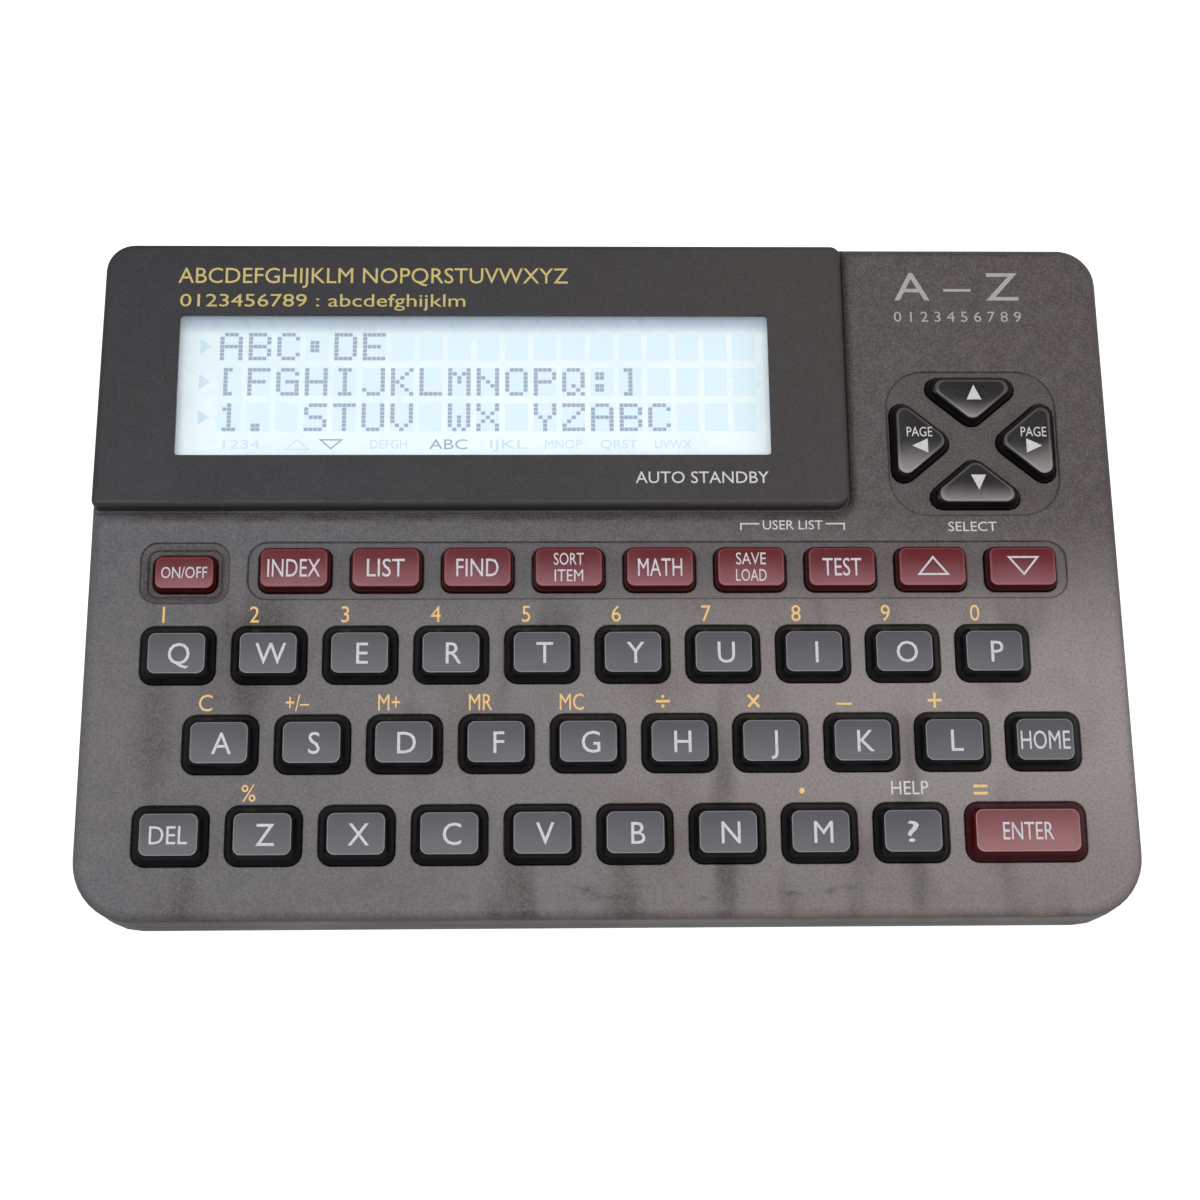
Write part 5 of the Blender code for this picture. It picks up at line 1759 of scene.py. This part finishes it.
    def _lettering(self, top: float) -> None:
        """The gold lines over the window and the grey label under it.

        Args:
            top: Height of the block's top.
        """
        gold = PrintRun("title_gold", Tone.TITLE, "case")
        for label in TITLE_LABELS:
            gold.label(label, top)
        gold.finish()
        grey = PrintRun("label_under_window", Tone.PALE, "case")
        grey.label(STANDBY_LABEL, top)
        grey.finish()


class TileTree(GeometryTree):
    """Geometry Nodes tree that lays a flat tile at each point of a mesh."""

    def __init__(self) -> None:
        """Build the tree with its named inputs."""
        super().__init__("dot_tiles", {"Tile": "NodeSocketVector"})
        self.repeat(self.add("GeometryNodeMeshCube", {"Size": self.given["Tile"]}).outputs[0])

    def lay(
        self,
        name: str,
        places: list[tuple[float, float]],
        glass: float,
        tile: tuple[float, float, float],
        ink: Tone,
    ) -> None:
        """Lay the tiles and keep them as one plain piece on the case.

        Args:
            name: The piece's name.
            places: Tile centres.
            glass: Height of the glass.
            tile: Width, depth and height of a tile.
            ink: The tile's tone.
        """
        data = bpy.data.meshes.new(name + "_places")
        data.from_pydata([(x, y, glass + tile[2] / 2) for x, y in places], [], [])
        inputs = {"Tile": tile, "Finish": ink.material()}
        piece = self.bake(mesh_object(name + "_places", data), name, inputs)
        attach(piece, "case")


@dataclass
class ScrewSet:
    """The four case screws, one cross-headed pan head repeated by Geometry Nodes."""

    finish: Metal
    sides: int = 32
    head_rise: float = 1.2 * MM
    slot_width: float = 0.5 * MM
    slot_length: float = 2.2 * MM
    cross_flare: float = 0.05 * MM
    cross_draft: float = 0.08 * MM
    cross_depth: float = 0.7 * MM
    thread_pitch: float = 0.8 * MM
    thread_depth: float = 0.12 * MM

    def _one(self) -> bpy.types.Object:
        """One screw about its own axis, head down, with a tapping thread and a cross recess.

        Returns:
            The screw.
        """
        low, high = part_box("screw_front_left")
        head_radius = (high.x - low.x) / 2
        shank = head_radius * 0.53
        head_top = low.z + self.head_rise
        rings = [(0.0, low.z), (head_radius * 0.45, low.z), (head_radius * 0.8, low.z + 0.25 * MM)]
        rings += [(head_radius * 0.97, low.z + 0.6 * MM), (head_radius, head_top), (shank, head_top)]
        height = head_top + 0.6 * MM
        while height < high.z - 1.0 * MM:
            rings += [(shank - self.thread_depth, height), (shank, height + self.thread_pitch / 2)]
            height += self.thread_pitch
        rings += [(shank * 0.55, high.z), (0.0, high.z)]
        mesh = bmesh.new()
        for before, after in zip(rings, rings[1:]):
            mesh.edges.new([mesh.verts.new((radius, 0, rise)) for radius, rise in (before, after)])
        bmesh.ops.remove_doubles(mesh, verts=mesh.verts, dist=MERGE)
        outline = mesh.verts[:] + mesh.edges[:]
        bmesh.ops.spin(mesh, geom=outline, axis=(0, 0, 1), cent=(0, 0, 0), steps=self.sides, angle=math.tau)
        bmesh.ops.remove_doubles(mesh, verts=mesh.verts, dist=MERGE)
        bmesh.ops.recalc_face_normals(mesh, faces=mesh.faces)
        screw = from_bmesh("case_screw", mesh)
        half, long = self.slot_width / 2, self.slot_length / 2
        arms = []
        for width, depth in ((half, long), (long, half)):
            cross = rectangle(-width, width, -depth, depth)
            wide = (inset(cross, -self.cross_flare), low.z - OVERRUN)
            narrow = (inset(cross, self.cross_draft), low.z + self.cross_depth)
            arms.append(lofts("cross_arm", [[wide, narrow]]))
        carve(screw, *arms)
        screw.data.shade_smooth()
        screw.data.set_sharp_from_angle(angle=SHARP)
        return screw

    def build(self) -> None:
        """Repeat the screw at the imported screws' places and let the set stand for them."""
        nodes = [name for name in sorted(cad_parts) if name.startswith("screw_")]
        places = []
        for node in nodes:
            low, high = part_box(node)
            places.append(((low.x + high.x) / 2, (low.y + high.y) / 2, 0.0))
        tree = GeometryTree("repeated_screw", {"Screw": "NodeSocketObject"})
        tree.repeat(tree.add("GeometryNodeObjectInfo", {"Object": tree.given["Screw"]}).outputs["Geometry"])
        data = bpy.data.meshes.new("screw_places")
        data.from_pydata(places, [], [])
        screw = self._one()
        inputs = {"Screw": screw, "Finish": self.finish.make()}
        piece = tree.bake(mesh_object("screw_places", data), "case_screws", inputs)
        bpy.data.objects.remove(screw)
        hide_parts(*nodes)
        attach(piece, "case")
        log.info("case screws: %d", len(nodes))


@dataclass
class LowerHousing:
    """The lower half, its sliding battery cover and what the housing encloses."""

    shell_edge: float = 0.15 * MM
    inner_edge: float = 0.06 * MM

    def build(self, plastic: bpy.types.Material) -> None:
        """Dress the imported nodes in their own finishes.

        Args:
            plastic: The case's finish.
        """
        refine("bottom_case", plastic, self.shell_edge)
        refine("battery_cover", plastic, self.shell_edge)
        board = CircuitBoard("board_green", (0.03, 0.15, 0.07), (0.16, 0.30, 0.10)).make()
        refine("main_board", board, self.inner_edge)
        rubber = Rubber("rubber_grey", tone(150, 150, 152), tone(176, 176, 176)).make()
        refine("keypad_sheet", rubber, 0.0)
        refine("elastomer_strip", rubber, self.inner_edge)
        cell = Metal("cell_steel", tone(206, 204, 200), tone(168, 166, 164), 0.28).make()
        refine("battery_left", cell, self.inner_edge)
        refine("battery_right", cell, self.inner_edge)
        clip = Metal("clip_spring_steel", tone(196, 190, 176), tone(160, 150, 136), 0.34, (8.0, 1.0, 1.0))
        refine("battery_clip", clip.make(), 0.0)
        log.info("lower housing, battery cover and inner pieces")


@dataclass(frozen=True)
class Lamp:
    """A soft rectangular lamp that faces the origin."""

    name: str
    place: tuple[float, float, float]
    size: tuple[float, float]
    watts: float
    colour: Colour

    def build(self) -> None:
        """Add the lamp to the scene."""
        light = bpy.data.lights.new(self.name, "AREA")
        light.shape = "RECTANGLE"
        light.size, light.size_y = self.size
        light.energy = self.watts
        light.color = self.colour
        lamp = bpy.data.objects.new(self.name, light)
        lamp.location = self.place
        lamp.rotation_euler = (-Vector(self.place)).to_track_quat("-Z", "Y").to_euler()
        bpy.context.scene.collection.objects.link(lamp)


@dataclass
class Studio:
    """The pale floor, the soft lamps and the camera at the photograph's angle."""

    lens: float = 64.5
    place: tuple[float, float, float] = (-9.135 * MM, -80.591 * MM, 288.552 * MM)

    def build(self) -> None:
        """Set the stage."""
        self._floor()
        Lamp("lamp_overhead", (-0.05, -0.10, 0.75), (0.75, 0.60), 3.9, (1.0, 1.0, 1.0)).build()
        Lamp("lamp_right", (0.75, 0.05, 0.55), (0.5, 0.5), 1.35, (1.0, 0.94, 0.89)).build()
        Lamp("lamp_left", (-0.70, -0.10, 0.50), (0.5, 0.5), 1.2, (0.92, 0.96, 1.0)).build()
        world = bpy.data.worlds.new("studio")
        world.use_nodes = True
        sky = TreeBuilder(world.node_tree)
        ambient = sky.add("ShaderNodeBackground", {"Color": (0.95, 0.97, 1.0, 1.0), "Strength": 0.20})
        white = sky.add("ShaderNodeBackground", {"Color": (1.0, 1.0, 1.0, 1.0), "Strength": 1.0})
        both = sky.add("ShaderNodeMixShader", {0: self._seen(sky), 1: ambient, 2: white})
        sky.add("ShaderNodeOutputWorld", {0: both})
        bpy.context.scene.world = world
        self._camera()
        bpy.context.scene.view_settings.view_transform = "Standard"
        log.info("studio")

    @staticmethod
    def _seen(tree: TreeBuilder) -> bpy.types.NodeSocket:
        """1 where the background is seen, directly or through glass, and a share in reflections.

        Args:
            tree: The material's or world's tree.

        Returns:
            The mask.
        """
        path = tree.add("ShaderNodeLightPath").outputs
        seen = tree.math("MAXIMUM", path["Is Camera Ray"], path["Is Transmission Ray"])
        return tree.math("MAXIMUM", seen, tree.product(path["Is Glossy Ray"], 0.25))

    @staticmethod
    def _floor() -> None:
        """A plain floor that the camera sees as white, with the object's shadow kept."""
        mesh = bmesh.new()
        bmesh.ops.create_grid(mesh, x_segments=8, y_segments=8, size=3.0)
        bmesh.ops.translate(mesh, verts=mesh.verts, vec=(0, 0, -0.05 * MM))
        floor = from_bmesh("floor", mesh)
        material = bpy.data.materials.new("floor_white")
        material.use_nodes = True
        tree = TreeBuilder(material.node_tree)
        paper = tree.add("ShaderNodeBsdfDiffuse", {"Color": (0.85, 0.85, 0.85, 1.0)})
        lift = tree.add("ShaderNodeEmission", {"Color": (1.0, 1.0, 1.0, 1.0), "Strength": 0.72})
        bright = tree.add("ShaderNodeAddShader", {0: paper, 1: lift})
        seen = Studio._seen(tree)
        dim = tree.add("ShaderNodeBsdfDiffuse", {"Color": (0.42, 0.42, 0.42, 1.0)})
        both = tree.add("ShaderNodeMixShader", {0: seen, 1: dim, 2: bright})
        tree.add("ShaderNodeOutputMaterial", {0: both})
        floor.data.materials.append(material)

    def _camera(self) -> None:
        """The camera where the photograph was taken from."""
        data = bpy.data.cameras.new("camera")
        data.lens = self.lens
        data.sensor_width = 36.0
        data.clip_start = 0.01
        camera = bpy.data.objects.new("camera", data)
        turn = Matrix(
            (
                (0.99962, 0.002424, -0.027476),
                (-0.009636, 0.964060, -0.265508),
                (0.025845, 0.265672, 0.963717),
            )
        )
        camera.matrix_world = Matrix.Translation(self.place) @ turn.to_4x4()
        bpy.context.scene.collection.objects.link(camera)
        bpy.context.scene.camera = camera


def clear_start_scene() -> None:
    """Remove Blender's own cube, lamp and camera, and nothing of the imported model."""
    for name in ("Cube", "Light", "Camera"):
        if name in bpy.data.objects:
            bpy.data.objects.remove(bpy.data.objects[name])


def main() -> None:
    """Build the looks of every sub-assembly in order."""
    logging.basicConfig(level=logging.INFO, format="%(message)s")
    clear_start_scene()
    case = HousingPlastic(
        "case_grey",
        cool=tone(84, 84, 90),
        warm=tone(76, 70, 68),
        light=tone(154, 146, 144),
        deep=tone(62, 55, 53),
        smudges_and_shade=0.85,
        wear_and_highlight=0.6,
    )
    panel = HousingPlastic(
        "panel_charcoal",
        cool=tone(49, 48, 52),
        warm=tone(68, 63, 61),
        light=tone(80, 78, 79),
        deep=tone(36, 33, 33),
        roughness=0.50,
        dust=0.10,
    )
    keys = KeySet(field=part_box("top_case")[1].z)
    housing = UpperHousing(keys, case)
    housing.build()
    DisplayBlock(panel).build()
    keys.build()
    KeyLegends(keys).build()
    CaseLettering(keys).build()
    LowerHousing().build(bpy.data.materials["case_grey"])
    ScrewSet(Metal("screw_zinc", tone(196, 196, 192), tone(150, 148, 146), 0.3)).build()
    Studio().build()


if __name__ == "__main__":
    main()
